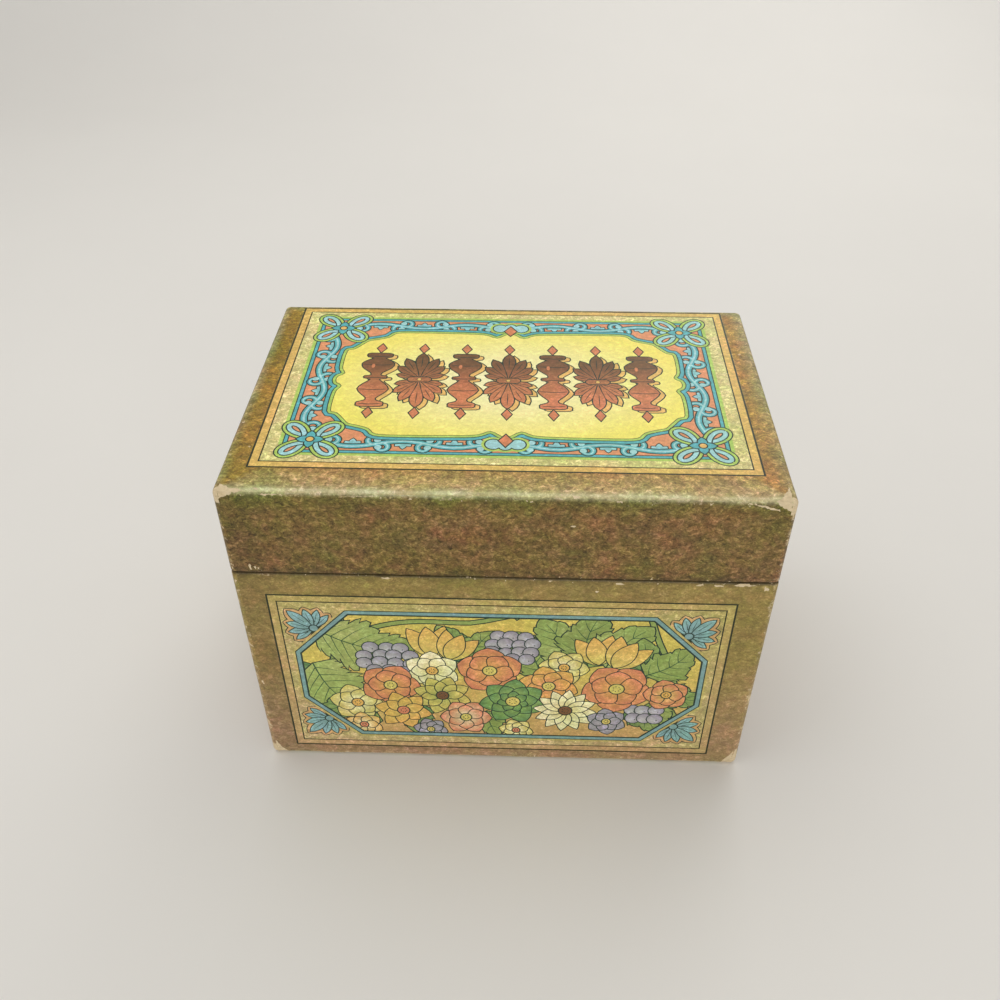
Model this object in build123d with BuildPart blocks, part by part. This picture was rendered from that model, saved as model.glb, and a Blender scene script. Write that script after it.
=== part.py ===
"""Hinged-lid card box in paper-covered chipboard, for 3 x 5 inch cards.

A set-up box. The base and the lid are shallow trays, each folded from one scored blank of chipboard.
Paper stays hold their upright corners. A printed wrap covers each tray outside and turns in over its rim,
and a plain lining covers it inside. The lid meets the base flush, rim on rim. A U-shaped neck glued inside
the base stands above the rim and leads the lid home. A pasted strip along the back, creased on the joint,
is the hinge: its two leaves are one strip of the real box, parted here on the crease.

Millimetres. +Z is up, the front faces -Y and the origin is the centre of the underside.
"""

import os
from math import sqrt

from build123d import *

# Outside of the closed box
box_width = 139.7
box_depth = 91.4
base_height = 75.6
lid_height = 26.9

# Board and papers, by caliper
base_board = 1.6
wrap_paper = 0.15
stay_paper = 0.15
lining_paper = 0.15
foot_paper = 0.15
lid_ease = 0.3  # the lid's board is lighter than the base's by this much, so that it clears the neck

# Folded edges, measured on the outside of the wrap
corner_radius = 1.4
edge_radius = 1.6
rim_radius = 0.7

# How far the papers reach
rim_turn_in = 12.0
foot_turn_in = 13.0
foot_margin = 4.0
lining_drop = 2.0
stay_leg = 14.0

# Neck
neck_board = 1.1
neck_rise = 9.0
neck_slack = 0.45
neck_side_lean = 0.5
neck_fold_radius = 0.8
neck_back_cut = 7.0
neck_end_gap = 0.3

# Hinge strip
hinge_leaf = 12.0
hinge_paper = 0.3
hinge_end_margin = 2.5

# Worked out from the sizes above
box_height = base_height + lid_height
lid_board = base_board - lid_ease
base_skin = wrap_paper + base_board
lid_skin = wrap_paper + lid_board
neck_inset = base_skin + wrap_paper + lining_paper
foot_level = foot_paper
board_foot = foot_level + wrap_paper
base_floor = board_foot + base_board
lid_ceiling = box_height - lid_skin
swing_reach = box_depth - lid_skin
neck_front_lean = swing_reach - sqrt(swing_reach**2 - neck_rise**2) + neck_slack

FRONT_LEFT, FRONT_RIGHT = (-1, -1), (1, -1)
BACK_LEFT, BACK_RIGHT = (-1, 1), (1, 1)
CORNERS = {
    "front_left": FRONT_LEFT,
    "front_right": FRONT_RIGHT,
    "back_left": BACK_LEFT,
    "back_right": BACK_RIGHT,
}


def keep(piece: Part, name: str):
    """Labels a finished piece and writes it as a STEP file of that name."""
    piece.label = name
    export_step(piece, f"parts/{name}.step")


def prism(inset: float, low: float, high: float, mode=Mode.ADD, radius: float = 0.0):
    """Adds or cuts an upright block between two heights, set in from the outside of the box all round."""
    with BuildSketch(Plane.XY.offset(low)) as outline:
        if radius > 0:
            RectangleRounded(box_width - 2 * inset, box_depth - 2 * inset, radius)
        else:
            Rectangle(box_width - 2 * inset, box_depth - 2 * inset)
    extrude(outline.sketch, amount=high - low, mode=mode)


def tray_block(inset: float, mouth: float, closed: float) -> Part:
    """The full outer form of a tray, set in by some layers of paper: soft corners, closed edge and rim."""
    with BuildPart() as block:
        prism(inset, min(mouth, closed), max(mouth, closed), radius=corner_radius - inset)
        levels = block.edges().group_by(Axis.Z)
        closed_edges = levels[0] if closed < mouth else levels[-1]
        fillet(closed_edges, edge_radius - inset)
        levels = block.edges().group_by(Axis.Z)
        rim_edges = levels[-1] if closed < mouth else levels[0]
        fillet(rim_edges, rim_radius - inset)
    return block.part


def corner_stay(side: tuple, low: float, high: float) -> Part:
    """Gummed paper folded round one upright corner of the board, pressed flush with its face."""
    inset = wrap_paper
    width, depth = box_width - 2 * inset, box_depth - 2 * inset
    radius = corner_radius - inset
    across, along = side
    with BuildPart() as stay:
        with BuildSketch(Plane.XY.offset(low)):
            RectangleRounded(width, depth, radius)
            RectangleRounded(
                width - 2 * stay_paper, depth - 2 * stay_paper, radius - stay_paper, mode=Mode.SUBTRACT
            )
            with Locations((across * (width - stay_leg) / 2, along * (depth - stay_leg) / 2)):
                Rectangle(stay_leg, stay_leg, mode=Mode.INTERSECT)
        extrude(amount=high - low)
    return stay.part


def tray_board(mouth: float, closed: float, thickness: float, stays: list) -> Part:
    """A tray folded from one scored blank, with its corners pressed in where the stays lie."""
    inside = wrap_paper + thickness
    panel = closed + thickness if closed < mouth else closed - thickness
    with BuildPart() as board:
        add(tray_block(wrap_paper, mouth, closed))
        prism(inside, min(panel, mouth), max(panel, mouth), mode=Mode.SUBTRACT)
        for stay in stays:
            add(stay, mode=Mode.SUBTRACT)
    return board.part


def tray_wrap(mouth: float, closed: float, thickness: float, window: float) -> Part:
    """The printed paper round a tray: one skin outside, folded over the rim and down the inside.

    A window leaves only a turn-in of that width on the closed face. Zero covers the face.
    """
    up = 1 if closed < mouth else -1
    inside = wrap_paper + thickness
    board_mouth = mouth - up * wrap_paper
    board_closed = closed + up * wrap_paper
    flap = mouth - up * rim_turn_in
    with BuildPart() as wrap:
        add(tray_block(0, mouth, closed))
        add(tray_block(wrap_paper, board_mouth, board_closed), mode=Mode.SUBTRACT)
        prism(inside, min(flap, mouth), max(flap, mouth))
        prism(inside + wrap_paper, min(flap, mouth), max(flap, mouth), mode=Mode.SUBTRACT)
        if window:
            prism(window, min(closed, board_closed), max(closed, board_closed), mode=Mode.SUBTRACT)
    return wrap.part


def tray_lining(mouth: float, panel: float, inside: float) -> Part:
    """Plain paper inside a tray. It covers the panel and the walls, and steps over the wrap's turn-in."""
    up = 1 if panel < mouth else -1
    flap = mouth - up * rim_turn_in
    top = mouth - up * lining_drop
    over = inside + wrap_paper
    with BuildPart() as lining:
        prism(inside, min(panel, flap), max(panel, flap))
        prism(over, min(flap, top), max(flap, top))
        paper_panel = panel + up * lining_paper
        paper_flap = flap - up * lining_paper
        prism(inside + lining_paper, min(paper_panel, paper_flap), max(paper_panel, paper_flap), Mode.SUBTRACT)
        prism(over + lining_paper, min(paper_flap, top), max(paper_flap, top), Mode.SUBTRACT)
    return lining.part


def neck_outline(level: float, front_lean: float, side_lean: float) -> Sketch:
    """The neck's U seen from above at one height: a front panel and two sides, open at the back."""
    half = box_width / 2 - neck_inset - side_lean
    front = -box_depth / 2 + neck_inset + front_lean
    back = box_depth / 2 - neck_inset - neck_end_gap
    with BuildSketch(Plane.XY.offset(level)) as outline:
        with BuildLine():
            outside = FilletPolyline(
                (-half, back), (-half, front), (half, front), (half, back), radius=neck_fold_radius
            )
            inner = Polyline(
                (half - neck_board, back),
                (half - neck_board, front + neck_board),
                (-half + neck_board, front + neck_board),
                (-half + neck_board, back),
            )
            Line(outside @ 1, inner @ 0)
            Line(inner @ 1, outside @ 0)
        make_face()
    return outline.sketch


def neck() -> Part:
    """A folded U of board, upright inside the base, then eased inwards above the rim for the lid's swing."""
    floor = base_floor + lining_paper
    top = base_height + neck_rise
    cut = neck_back_cut
    back = box_depth / 2 - neck_inset
    with BuildPart() as board:
        extrude(neck_outline(floor, 0, 0), amount=base_height - floor)
        loft([neck_outline(base_height, 0, 0), neck_outline(top, neck_front_lean, neck_side_lean)], ruled=True)
        with BuildSketch(Plane.YZ) as sloped_end:
            with BuildLine():
                Polyline((back - cut, top), (back, top), (back, top - cut), close=True)
            make_face()
        extrude(sloped_end.sketch, amount=box_width / 2, both=True, mode=Mode.SUBTRACT)
    return board.part


def hinge_half(low: float, high: float) -> Part:
    """One leaf of the hinge strip, pasted on the back, from the crease to the strip's edge."""
    width = box_width - 2 * hinge_end_margin
    with BuildPart() as leaf:
        with BuildSketch(Plane.XZ.offset(-box_depth / 2)):
            with Locations((0, (low + high) / 2)):
                Rectangle(width, high - low)
        extrude(amount=-hinge_paper)
    return leaf.part


def foot_sheet() -> Part:
    """Plain paper under the base. It covers the wrap's turn-in and fills the window inside it."""
    with BuildPart() as sheet:
        prism(foot_margin, 0, foot_level)
        prism(foot_turn_in, foot_level, board_foot)
    return sheet.part


os.makedirs("parts", exist_ok=True)

# Base
base_stays = {
    name: corner_stay(side, board_foot + edge_radius, base_height - rim_radius)
    for name, side in CORNERS.items()
}
for corner, stay in base_stays.items():
    keep(stay, f"base_stay_{corner}")
keep(
    tray_board(base_height - wrap_paper, board_foot, base_board, list(base_stays.values())), "base_board"
)
keep(tray_wrap(base_height, foot_level, base_board, foot_turn_in), "base_wrap")
keep(tray_lining(base_height, base_floor, base_skin), "base_lining")
keep(foot_sheet(), "base_foot_paper")
keep(neck(), "neck")

# Lid
lid_stays = {
    name: corner_stay(side, base_height + rim_radius, box_height - wrap_paper - edge_radius)
    for name, side in CORNERS.items()
}
for corner, stay in lid_stays.items():
    keep(stay, f"lid_stay_{corner}")
keep(
    tray_board(base_height + wrap_paper, box_height - wrap_paper, lid_board, list(lid_stays.values())),
    "lid_board",
)
keep(tray_wrap(base_height, box_height, lid_board, 0), "lid_wrap")
keep(tray_lining(base_height, lid_ceiling, lid_skin), "lid_lining")

# Hinge: the two leaves of one strip, which turn on its outer face at the rim
keep(hinge_half(base_height - hinge_leaf, base_height), "hinge_strip_base_leaf")
keep(hinge_half(base_height, base_height + hinge_leaf), "hinge_strip_lid_leaf")
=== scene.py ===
"""Hinged-lid card box in printed paper over chipboard: its wraps, hinge strip, linings, boards and stage.

Each wrap is drawn flat in millimetres, as the printer's sheet, and folded round its tray. Blender works in
metres.
"""

import math
import random

import bmesh
import bpy
import numpy as np
from bpy.props import FloatProperty, FloatVectorProperty, IntProperty, PointerProperty
from mathutils import Matrix, Vector, noise
from mathutils.geometry import delaunay_2d_cdt


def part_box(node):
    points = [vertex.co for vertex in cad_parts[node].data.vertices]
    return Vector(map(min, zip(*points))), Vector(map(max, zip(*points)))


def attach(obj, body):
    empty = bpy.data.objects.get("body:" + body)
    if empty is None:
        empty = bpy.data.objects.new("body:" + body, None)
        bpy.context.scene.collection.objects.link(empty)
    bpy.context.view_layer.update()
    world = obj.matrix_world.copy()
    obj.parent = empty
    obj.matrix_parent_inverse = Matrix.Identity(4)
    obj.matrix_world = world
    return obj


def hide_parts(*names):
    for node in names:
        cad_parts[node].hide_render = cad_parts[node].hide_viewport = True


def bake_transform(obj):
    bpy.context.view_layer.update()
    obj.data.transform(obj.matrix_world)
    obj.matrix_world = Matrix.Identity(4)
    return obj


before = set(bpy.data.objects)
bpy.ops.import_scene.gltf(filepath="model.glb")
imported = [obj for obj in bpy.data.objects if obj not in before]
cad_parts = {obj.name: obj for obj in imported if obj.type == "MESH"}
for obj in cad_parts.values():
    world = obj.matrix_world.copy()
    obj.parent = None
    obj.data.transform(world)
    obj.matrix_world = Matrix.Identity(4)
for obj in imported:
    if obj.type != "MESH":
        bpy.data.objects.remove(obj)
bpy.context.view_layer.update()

bl_info = {
    "name": "Card box",
    "version": (1, 0, 0),
    "blender": (4, 5, 0),
    "location": "3D View > Sidebar > Card box",
    "description": "Dresses the packed card box in printed paper and sets its stage",
    "category": "Object",
}

MM = 0.001
EPSILON = 1e-6
UP, DOWN = 1, -1
CORNERS = ((1, 1), (1, -1), (-1, 1), (-1, -1))
PRINT_FINISH = "sponged_print"


# ---------------------------------------------------------------- sizes and colours that a user would change


def linear(red, green, blue):
    """A colour given as 0 to 255 screen values, in Blender's linear values."""
    shares = (red / 255, green / 255, blue / 255)
    return tuple(c / 12.92 if c <= 0.04045 else ((c + 0.055) / 1.055) ** 2.4 for c in shares)


def size(name, description, millimetres):
    return FloatProperty(
        name=name, description=description, default=millimetres * MM, unit="LENGTH", min=0, precision=5
    )


def power(name, description, watts):
    return FloatProperty(name=name, description=description, default=watts, unit="POWER")


def colour(name, description, red, green, blue):
    return FloatVectorProperty(
        name=name, description=description, subtype="COLOR", size=3, min=0, max=1,
        default=linear(red, green, blue)
    )


class PrintColours(bpy.types.PropertyGroup):
    """The inks of the printed sheet."""

    lid_ground: colour("Lid ground", "Sponged ground at the back of the lid", 154, 125, 36)
    lid_ground_far: colour("Lid ground, front", "Sponged ground at the front of the lid", 182, 139, 68)
    lid_wall: colour("Lid wall", "Sponged ground on the walls of the lid", 130, 104, 58)
    base_wall: colour("Base wall", "Sponged ground at the top of the base", 157, 136, 76)
    # Lighter than the base wall: painted light bounced up from the floor, with the print's own pinker tone.
    base_foot: colour("Base foot", "Sponged ground at the foot of the base", 182, 145, 112)
    fold_green: colour("Fold green", "Green print along the folds", 106, 113, 32)
    # Pale crest of the folds: rubbed paper and a painted highlight.
    fold_pale: colour("Fold pale", "Rubbed crest of the folds", 234, 229, 184)
    # Painted shade: darkens the seam where the lid meets the base, and the left end of the fronts.
    grime: colour("Grime", "Dirt where the lid meets the base", 44, 32, 20)
    rule: colour("Rule", "Dark lines round the panels", 44, 50, 26)
    keyline: colour("Keyline", "Fine lines round the ornament", 32, 56, 46)
    lid_band: colour("Lid band", "Flat band inside the rule of the lid", 232, 194, 108)
    lid_field: colour("Lid field", "Ground between the band and the ornament", 226, 217, 146)
    lime: colour("Lime", "Halo round the ornament", 182, 214, 104)
    turquoise: colour("Turquoise", "Scrolls and edging", 92, 182, 190)
    sky: colour("Sky", "Light side of the scrolls", 168, 220, 222)
    coral: colour("Coral", "Filling between the scrolls", 234, 158, 112)
    cream: colour("Cream", "Middle of the cartouche", 255, 252, 204)
    lemon: colour("Lemon", "Edge of the cartouche", 253, 240, 116)
    umber: colour("Umber", "Top of the turned motifs", 124, 86, 52)
    brick: colour("Brick", "Foot of the turned motifs", 218, 136, 92)
    amber: colour("Amber", "Cast shade of the turned motifs", 243, 196, 112)
    front_band: colour("Front band", "Top of the flat band inside the rule of the front", 193, 172, 103)
    front_band_foot: colour("Front band foot", "Foot of that flat band", 202, 168, 119)
    front_field: colour("Front field", "Top of the ground inside the front's band", 194, 178, 112)
    # Lighter than the front field: painted light bounced up from the floor, with the print's own pinker tone.
    front_field_foot: colour("Front field foot", "Foot of the ground inside the front's band", 209, 187, 134)
    slate: colour("Slate", "Picture frame and corner fans", 130, 168, 166)
    picture_top: colour("Picture top", "Ground at the top of the picture", 220, 200, 100)
    picture_foot: colour("Picture foot", "Ground at the foot of the picture", 206, 168, 108)
    leaf: colour("Leaf", "Leaves of the picture", 150, 170, 92)
    deep_leaf: colour("Deep leaf", "Leaves in shade", 100, 144, 88)
    petal: colour("Petal", "Red petals", 224, 142, 104)
    marigold: colour("Marigold", "Yellow and orange petals", 232, 184, 96)
    straw: colour("Straw", "Pale petals", 222, 206, 112)
    heather: colour("Heather", "Grey-violet petals", 158, 154, 164)


class PaperColours(bpy.types.PropertyGroup):
    """The unprinted papers and boards."""

    fibre: colour("Fibre", "Bare fibre where the print is torn or rubbed", 236, 220, 188)
    lining: colour("Lining", "Plain paper inside both trays", 226, 212, 178)
    foot: colour("Foot paper", "Plain paper under the base", 206, 182, 138)
    board: colour("Board", "Grey-brown chipboard", 168, 144, 108)
    neck: colour("Neck", "Manila board of the neck", 214, 190, 140)
    stay: colour("Stay", "Gummed kraft paper", 188, 150, 102)


class PrintSizes(bpy.types.PropertyGroup):
    """Where the printed frames lie on the sheet."""

    crease_radius: size("Crease radius", "Outside radius of the folded edges", 1.6)
    rim_radius: size("Rim radius", "Outside radius of the fold over the rim", 0.7)
    base_turn_in: size("Base turn-in inset", "From the outside of the base to the face of its turn-in", 1.9)
    lid_turn_in: size("Lid turn-in inset", "From the outside of the lid to the face of its turn-in", 1.6)
    turn_in: size("Turn-in", "How far the wrap reaches down inside", 12)
    window: size("Window", "Width of the wrap's turn-in under the base", 13)
    lid_frame_width: size("Lid frame width", "Outer rule on the lid, across", 127)
    lid_frame_depth: size("Lid frame depth", "Outer rule on the lid, front to back", 80.4)
    lid_frame_back: size("Lid frame shift", "How far the lid's frame lies behind the middle", 3.9)
    front_frame_width: size("Front frame width", "Outer rule on the front, across", 122.6)
    front_frame_height: size("Front frame height", "Outer rule on the front, upright", 63.4)
    front_frame_middle: size("Front frame middle", "Height of the middle of the front's frame", 36.4)
    band: size("Band", "Width of the flat band inside the outer rule", 1.9)
    rule_weight: size("Rule weight", "Thickness of the outer rule", 0.5)
    fine_weight: size("Fine weight", "Thickness of the keylines", 0.36)


class StageSettings(bpy.types.PropertyGroup):
    """Floor, light and camera."""

    floor: colour("Floor", "Plain floor and backdrop", 236, 234, 230)
    overhead: power("Overhead", "Power of the large overhead light", 3.3)
    window_light: power("Window light", "Power of the light in front", 5.8)
    rear_light: power("Rear light", "Power of the light behind the box", 1.0)
    surround: FloatProperty(name="Surround", description="Strength of the light from all round", default=0.42)
    lens: FloatProperty(name="Lens", description="Length on a 36 mm sensor", default=35.556, unit="CAMERA")


class CardBoxSettings(bpy.types.PropertyGroup):
    """Everything a user would change."""

    inks: PointerProperty(name="Inks", description="Inks of the printed sheet", type=PrintColours)
    papers: PointerProperty(name="Papers", description="Unprinted papers and boards", type=PaperColours)
    sizes: PointerProperty(name="Sizes", description="Layout of the printed sheet", type=PrintSizes)
    stage: PointerProperty(name="Stage", description="Floor, light and camera", type=StageSettings)
    seed: IntProperty(name="Seed", description="Start of the random tears", default=7, min=0)


# ---------------------------------------------------------------- shader maths as expressions


class Wire:
    """An output socket. Arithmetic on wires and numbers adds Math nodes."""

    def __init__(self, finish, socket):
        self.finish, self.socket = finish, socket

    def _math(self, operation, first, second=0.0, clamp=False):
        settings = {"operation": operation, "use_clamp": clamp}
        return self.finish.node("ShaderNodeMath", settings, {0: first, 1: second})

    def __add__(self, other):
        return self._math("ADD", self, other)

    def __sub__(self, other):
        return self._math("SUBTRACT", self, other)

    def __rsub__(self, other):
        return self._math("SUBTRACT", other, self)

    def __mul__(self, other):
        return self._math("MULTIPLY", self, other)

    def __lt__(self, other):
        return self._math("LESS_THAN", self, other)

    def clamped(self):
        return self._math("ADD", self, 0.0, clamp=True)

    def larger(self, other):
        return self._math("MAXIMUM", self, other)

    __radd__ = __add__


class Finish:
    """A material's node tree, ending in one Principled shader."""

    def __init__(self, name, **constants):
        self.material = bpy.data.materials.new(name)
        self.material.use_nodes = True
        self.tree = self.material.node_tree
        self.shader = next(n for n in self.tree.nodes if n.type == "BSDF_PRINCIPLED")
        for socket, value in constants.items():
            self.shader.inputs[socket.replace("_", " ").title().replace("Ior", "IOR")].default_value = value

    def node(self, kind, settings=None, sockets=None, output=0):
        """Adds a node: its settings, then the values or links of its sockets. Returns one output as a wire."""
        made = self.tree.nodes.new(kind)
        for setting, value in (settings or {}).items():
            if setting == "stops":
                ramp = made.color_ramp
                while len(ramp.elements) < len(value):
                    ramp.elements.new(0.5)
                for element, (position, shade) in zip(ramp.elements, value):
                    element.position, element.color = position, (*shade, 1)
            else:
                setattr(made, setting, value)
        for key, value in (sockets or {}).items():
            self.plug(made.inputs[key], value)
        return Wire(self, made.outputs[output])

    def plug(self, socket, value):
        if isinstance(value, Wire):
            self.tree.links.new(value.socket, socket)
        elif socket.type == "RGBA" and len(value) == 3:
            socket.default_value = (*value, 1)
        else:
            socket.default_value = value

    def feed(self, **sockets):
        """Links wires to the shader's own sockets."""
        for socket, wire in sockets.items():
            self.tree.links.new(wire.socket, self.shader.inputs[socket.replace("_", " ").title()])
        return self.material

    def place(self, stretch=(1, 1, 1), shift=(0, 0, 0)):
        """Position on the box in millimetres. A stretch of 2 draws a pattern out to twice its length."""
        here = self.node("ShaderNodeTexCoord", output="Object")
        scaled = self.vector("MULTIPLY", here, tuple(1 / (MM * s) for s in stretch))
        return self.vector("ADD", scaled, shift)

    def vector(self, operation, first, second):
        return self.node("ShaderNodeVectorMath", {"operation": operation}, {0: first, 1: second})

    def noise(self, width, detail, roughness, distortion=0.0, stretch=(1, 1, 1), shift=(0, 0, 0)):
        """Noise whose blotches are about that many millimetres wide."""
        sockets = {"Vector": self.place(stretch, shift), "Scale": 1 / width, "Detail": detail}
        sockets |= {"Roughness": roughness, "Distortion": distortion}
        return self.node("ShaderNodeTexNoise", {"noise_dimensions": "3D"}, sockets)

    def ramp(self, factor, *stops):
        return self.node("ShaderNodeValToRGB", {"stops": stops}, {"Fac": factor})

    def rise(self, value, low, high):
        """0 below low, 1 above high, and smooth between. It falls where low is the larger."""
        sockets = {"Value": value, "From Min": low, "From Max": high}
        return self.node("ShaderNodeMapRange", {"interpolation_type": "SMOOTHSTEP"}, sockets)

    def mix(self, factor, low, high, blend="MIX"):
        settings = {"data_type": "RGBA", "blend_type": blend}
        return self.node("ShaderNodeMix", settings, {0: factor, 6: low, 7: high}, output=2)

    def times(self, tone, factor, *stops):
        """A tone multiplied by a ramp."""
        return self.mix(1.0, tone, self.ramp(factor, *stops), "MULTIPLY")

    def attribute(self, name, output):
        return self.node("ShaderNodeAttribute", {"attribute_name": name}, output=output)

    def speckle(self, pitch, radius, share, **place):
        """Round specks of that radius, one in each cell of that pitch, of which only a share is kept."""
        cell = {"Vector": self.place(**place), "Scale": 1 / pitch, "Randomness": 1.0}
        near = self.node("ShaderNodeTexVoronoi", {"feature": "F1"}, cell, output="Distance")
        pick = self.node("ShaderNodeTexVoronoi", {"feature": "F1"}, cell, output="Color")
        return self.rise(near, radius / pitch, 0.6 * radius / pitch) * (pick < share)

    def bump(self, height, depth):
        """A Normal from a height in units of depth, in millimetres."""
        return self.node("ShaderNodeBump", None, {"Strength": 1.0, "Distance": depth * MM, "Height": height})


# ---------------------------------------------------------------- drawing on the flat sheet


def clamp(value, high=1.0):
    return max(0.0, min(high, value))


def toward(angle):
    """The direction of an angle on the sheet."""
    return Vector((math.cos(angle), math.sin(angle)))


def left_of(way):
    return Vector((-way.y, way.x))


class Paint:
    """What a printed shape is filled with: one colour, or a blend between two, and its share of sponging.

    A blend runs from start to end, or round start out to a reach. Torn paint is bare fibre. A hole is cut out.
    """

    def __init__(
        self, first, second=None, start=(0, 0), end=None, reach=None, squash=1.0, sponge=0.3, torn=0.0,
        hole=False,
    ):
        self.first, self.second = Vector(first), Vector(second or first)
        self.start, self.end, self.reach, self.squash = Vector(start), end and Vector(end), reach, squash
        self.sponge, self.torn, self.hole = sponge, torn, hole

    def at(self, point):
        """The colour at a point of the sheet, and its share of sponging as alpha."""
        share = 0.0
        if self.reach:
            x, y = point[0] - self.start.x, point[1] - self.start.y
            share = min(1.0, math.hypot(x, self.squash * y) / self.reach)
        elif self.end:
            way = self.end - self.start
            share = clamp((point - self.start).dot(way) / way.length_squared)
        return (*self.first.lerp(self.second, share), self.sponge)


class Ground(Paint):
    """The sponged ground. It drifts between two tones and greens along folds. The folds' crests are pale with
    rubbing and a painted highlight, a painted highlight lightens the front of the top, and painted shade darkens
    the rim at the seam and the left end of the front.
    """

    DRIFT = 1.7  # a wall's second tone is reached at its height divided by this
    CLOUD, CLOUD_SHARE = 30, 0.22
    PATCH, PATCH_LEVEL, PATCH_SWING = 9, 0.75, 0.6
    # LEFT_...: painted shade that darkens the left end of the front.
    LEFT_GRIME, LEFT_WIDTH, LEFT_FADE = 0.2, 14, 10
    # GLOW: a painted highlight on the top, fading in from its front edge.
    GLOW, GLOW_WIDTH = 0.3, 10
    GREEN_TOP, GREEN_TOP_WIDTH = 0.5, 3.4
    GREEN_WALL, GREEN_WALL_WIDTH = 0.6, 6
    # CREST_...: the pale crest of each fold, rubbed paper with a painted highlight, strongest in front.
    CREST_PLACE, CREST_WIDTH = 0.3, 0.4  # shares of the fold's arc
    CREST_FRONT, CREST_ELSEWHERE = 0.9, 0.34
    # RIM_...: painted shade that darkens each wall over its rim into the seam.
    RIM_START, RIM_MOST, RIM_RISE = 0.25, 0.78, 1.1

    def __init__(self, fold, inks, first, second, start=(0, 0), end=None, sponge=1.0, greening=1.0):
        super().__init__(inks[first].first, inks[second].first, start, end, sponge=sponge)
        self.fold, self.greening = fold, greening
        self.green, self.pale, self.grime = (inks[name].first for name in ("fold_green", "fold_pale", "grime"))

    def at(self, point):
        fold, (x, y) = self.fold, point
        past = max(abs(x) - fold.a, abs(y) - fold.b)
        in_front = y < 0 and abs(y) - fold.b > abs(x) - fold.a
        if self.end:
            shade = Vector(super().at(point)[:3])
        else:
            shade = self.first.lerp(self.second, clamp(self.DRIFT * past / fold.wall_end))
        cloud = noise.noise(Vector((x / self.CLOUD, y / self.CLOUD, 5)))
        patchy = self.PATCH_LEVEL + self.PATCH_SWING * noise.noise(Vector((x / self.PATCH, y / self.PATCH, 8)))
        crest = math.exp(-(((past - self.CREST_PLACE * fold.arc) / (self.CREST_WIDTH * fold.arc)) ** 2))

        layers = [(self.green, self.CLOUD_SHARE * max(0.0, cloud))]
        if in_front:
            # Painted shade at the left end of the front
            shaded_left = clamp((self.LEFT_WIDTH - x - fold.a) / self.LEFT_FADE)
            layers.append((self.grime, self.LEFT_GRIME * shaded_left))
        # Painted highlight on the top along its front edge
        if in_front and past < 0:
            layers.append((self.pale, self.GLOW * max(0.0, 1 + past / self.GLOW_WIDTH)))
        if past < 0:
            greened = self.GREEN_TOP * max(0.0, 1 + past / self.GREEN_TOP_WIDTH) ** 2
        else:
            down = max(0.0, past - fold.arc)
            greened = self.GREEN_WALL * max(0.0, 1 - down / self.GREEN_WALL_WIDTH) ** 2
        layers.append((self.green, self.greening * patchy * greened))
        # The folds' crests: rubbed paper and a painted highlight, most in front
        rubbed = self.CREST_FRONT if in_front else self.CREST_ELSEWHERE
        layers.append((self.pale, min(1.0, rubbed * patchy * crest)))
        # Painted shade in the seam, over the rim's fold
        depth = (past - fold.wall_end + self.RIM_START) / (fold.end - fold.wall_end)
        layers.append((self.grime, clamp(depth * self.RIM_RISE, self.RIM_MOST)))
        for tone, share in layers:
            shade = shade.lerp(tone, share)
        # Less sponging on the front crest, under its painted highlight
        return (*shade, self.sponge * (1 - 0.5 * crest if in_front else 1.0))


def rectangle(width, height, middle=(0, 0), cut=(0, 0)):
    """A rectangle round its middle, with corners cut off by that much across and along."""
    half_x, half_y = width / 2, height / 2
    cut_x, cut_y = cut
    points = []
    for x, y in ((-1, -1), (1, -1), (1, 1), (-1, 1)):
        corner = [(x * half_x, y * (half_y - cut_y)), (x * (half_x - cut_x), y * half_y)]
        if cut_x <= 0:
            corner = corner[:1]
        elif x * y < 0:
            corner.reverse()
        points += corner
    return [Vector(p) + Vector(middle) for p in points]


def disc(middle, radius, sides=20, squash=1.0):
    return [
        Vector(middle) + Vector((radius * math.cos(a), radius * squash * math.sin(a)))
        for a in (math.tau * i / sides for i in range(sides))
    ]


def petal(root, angle, length, width, point=1.0, sides=9):
    """A petal from its root. A larger point draws its widest place nearer the tip."""
    root, along = Vector(root), toward(angle)
    across = left_of(along)
    steps = range(1, sides)
    spine = [root + along * length * i / sides for i in steps]
    half = [math.sin(math.pi * (i / sides) ** point) ** 0.8 * width / 2 for i in steps]
    right = [p - across * h for p, h in zip(spine, half)]
    left = [p + across * h for p, h in zip(spine, half)]
    return [root, *right, root + along * length, *reversed(left)]


def ribbon(path, widths):
    """A band along a path, with its width at each point, or one width for all."""
    if not isinstance(widths, list):
        widths = [widths] * len(path)
    left, right = [], []
    for i, here in enumerate(path):
        way = (path[min(i + 1, len(path) - 1)] - path[max(i - 1, 0)]).normalized()
        across = left_of(way) * widths[i] / 2
        left.append(here + across)
        right.append(here - across)
    return right + left[::-1]


def curl(root, angle, radius, turn, width):
    """A scroll: a band that leaves its root at an angle, winds in on itself and ends in a bead."""
    steps, tighten, taper, bead = 16, 0.62, 0.45, 0.62
    hand = 1 if turn > 0 else -1
    arc = abs(turn) / steps
    heading, here, path = angle, Vector(root), [Vector(root)]
    for i in range(steps):
        heading += hand * arc
        here = here + toward(heading) * (radius * (1 - tighten * i / steps)) * arc
        path.append(here)
    widths = [width * (1.0 - taper * i / steps) for i in range(steps + 1)]
    return ribbon(path, widths), disc(path[-1], width * bead, 12)


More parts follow.
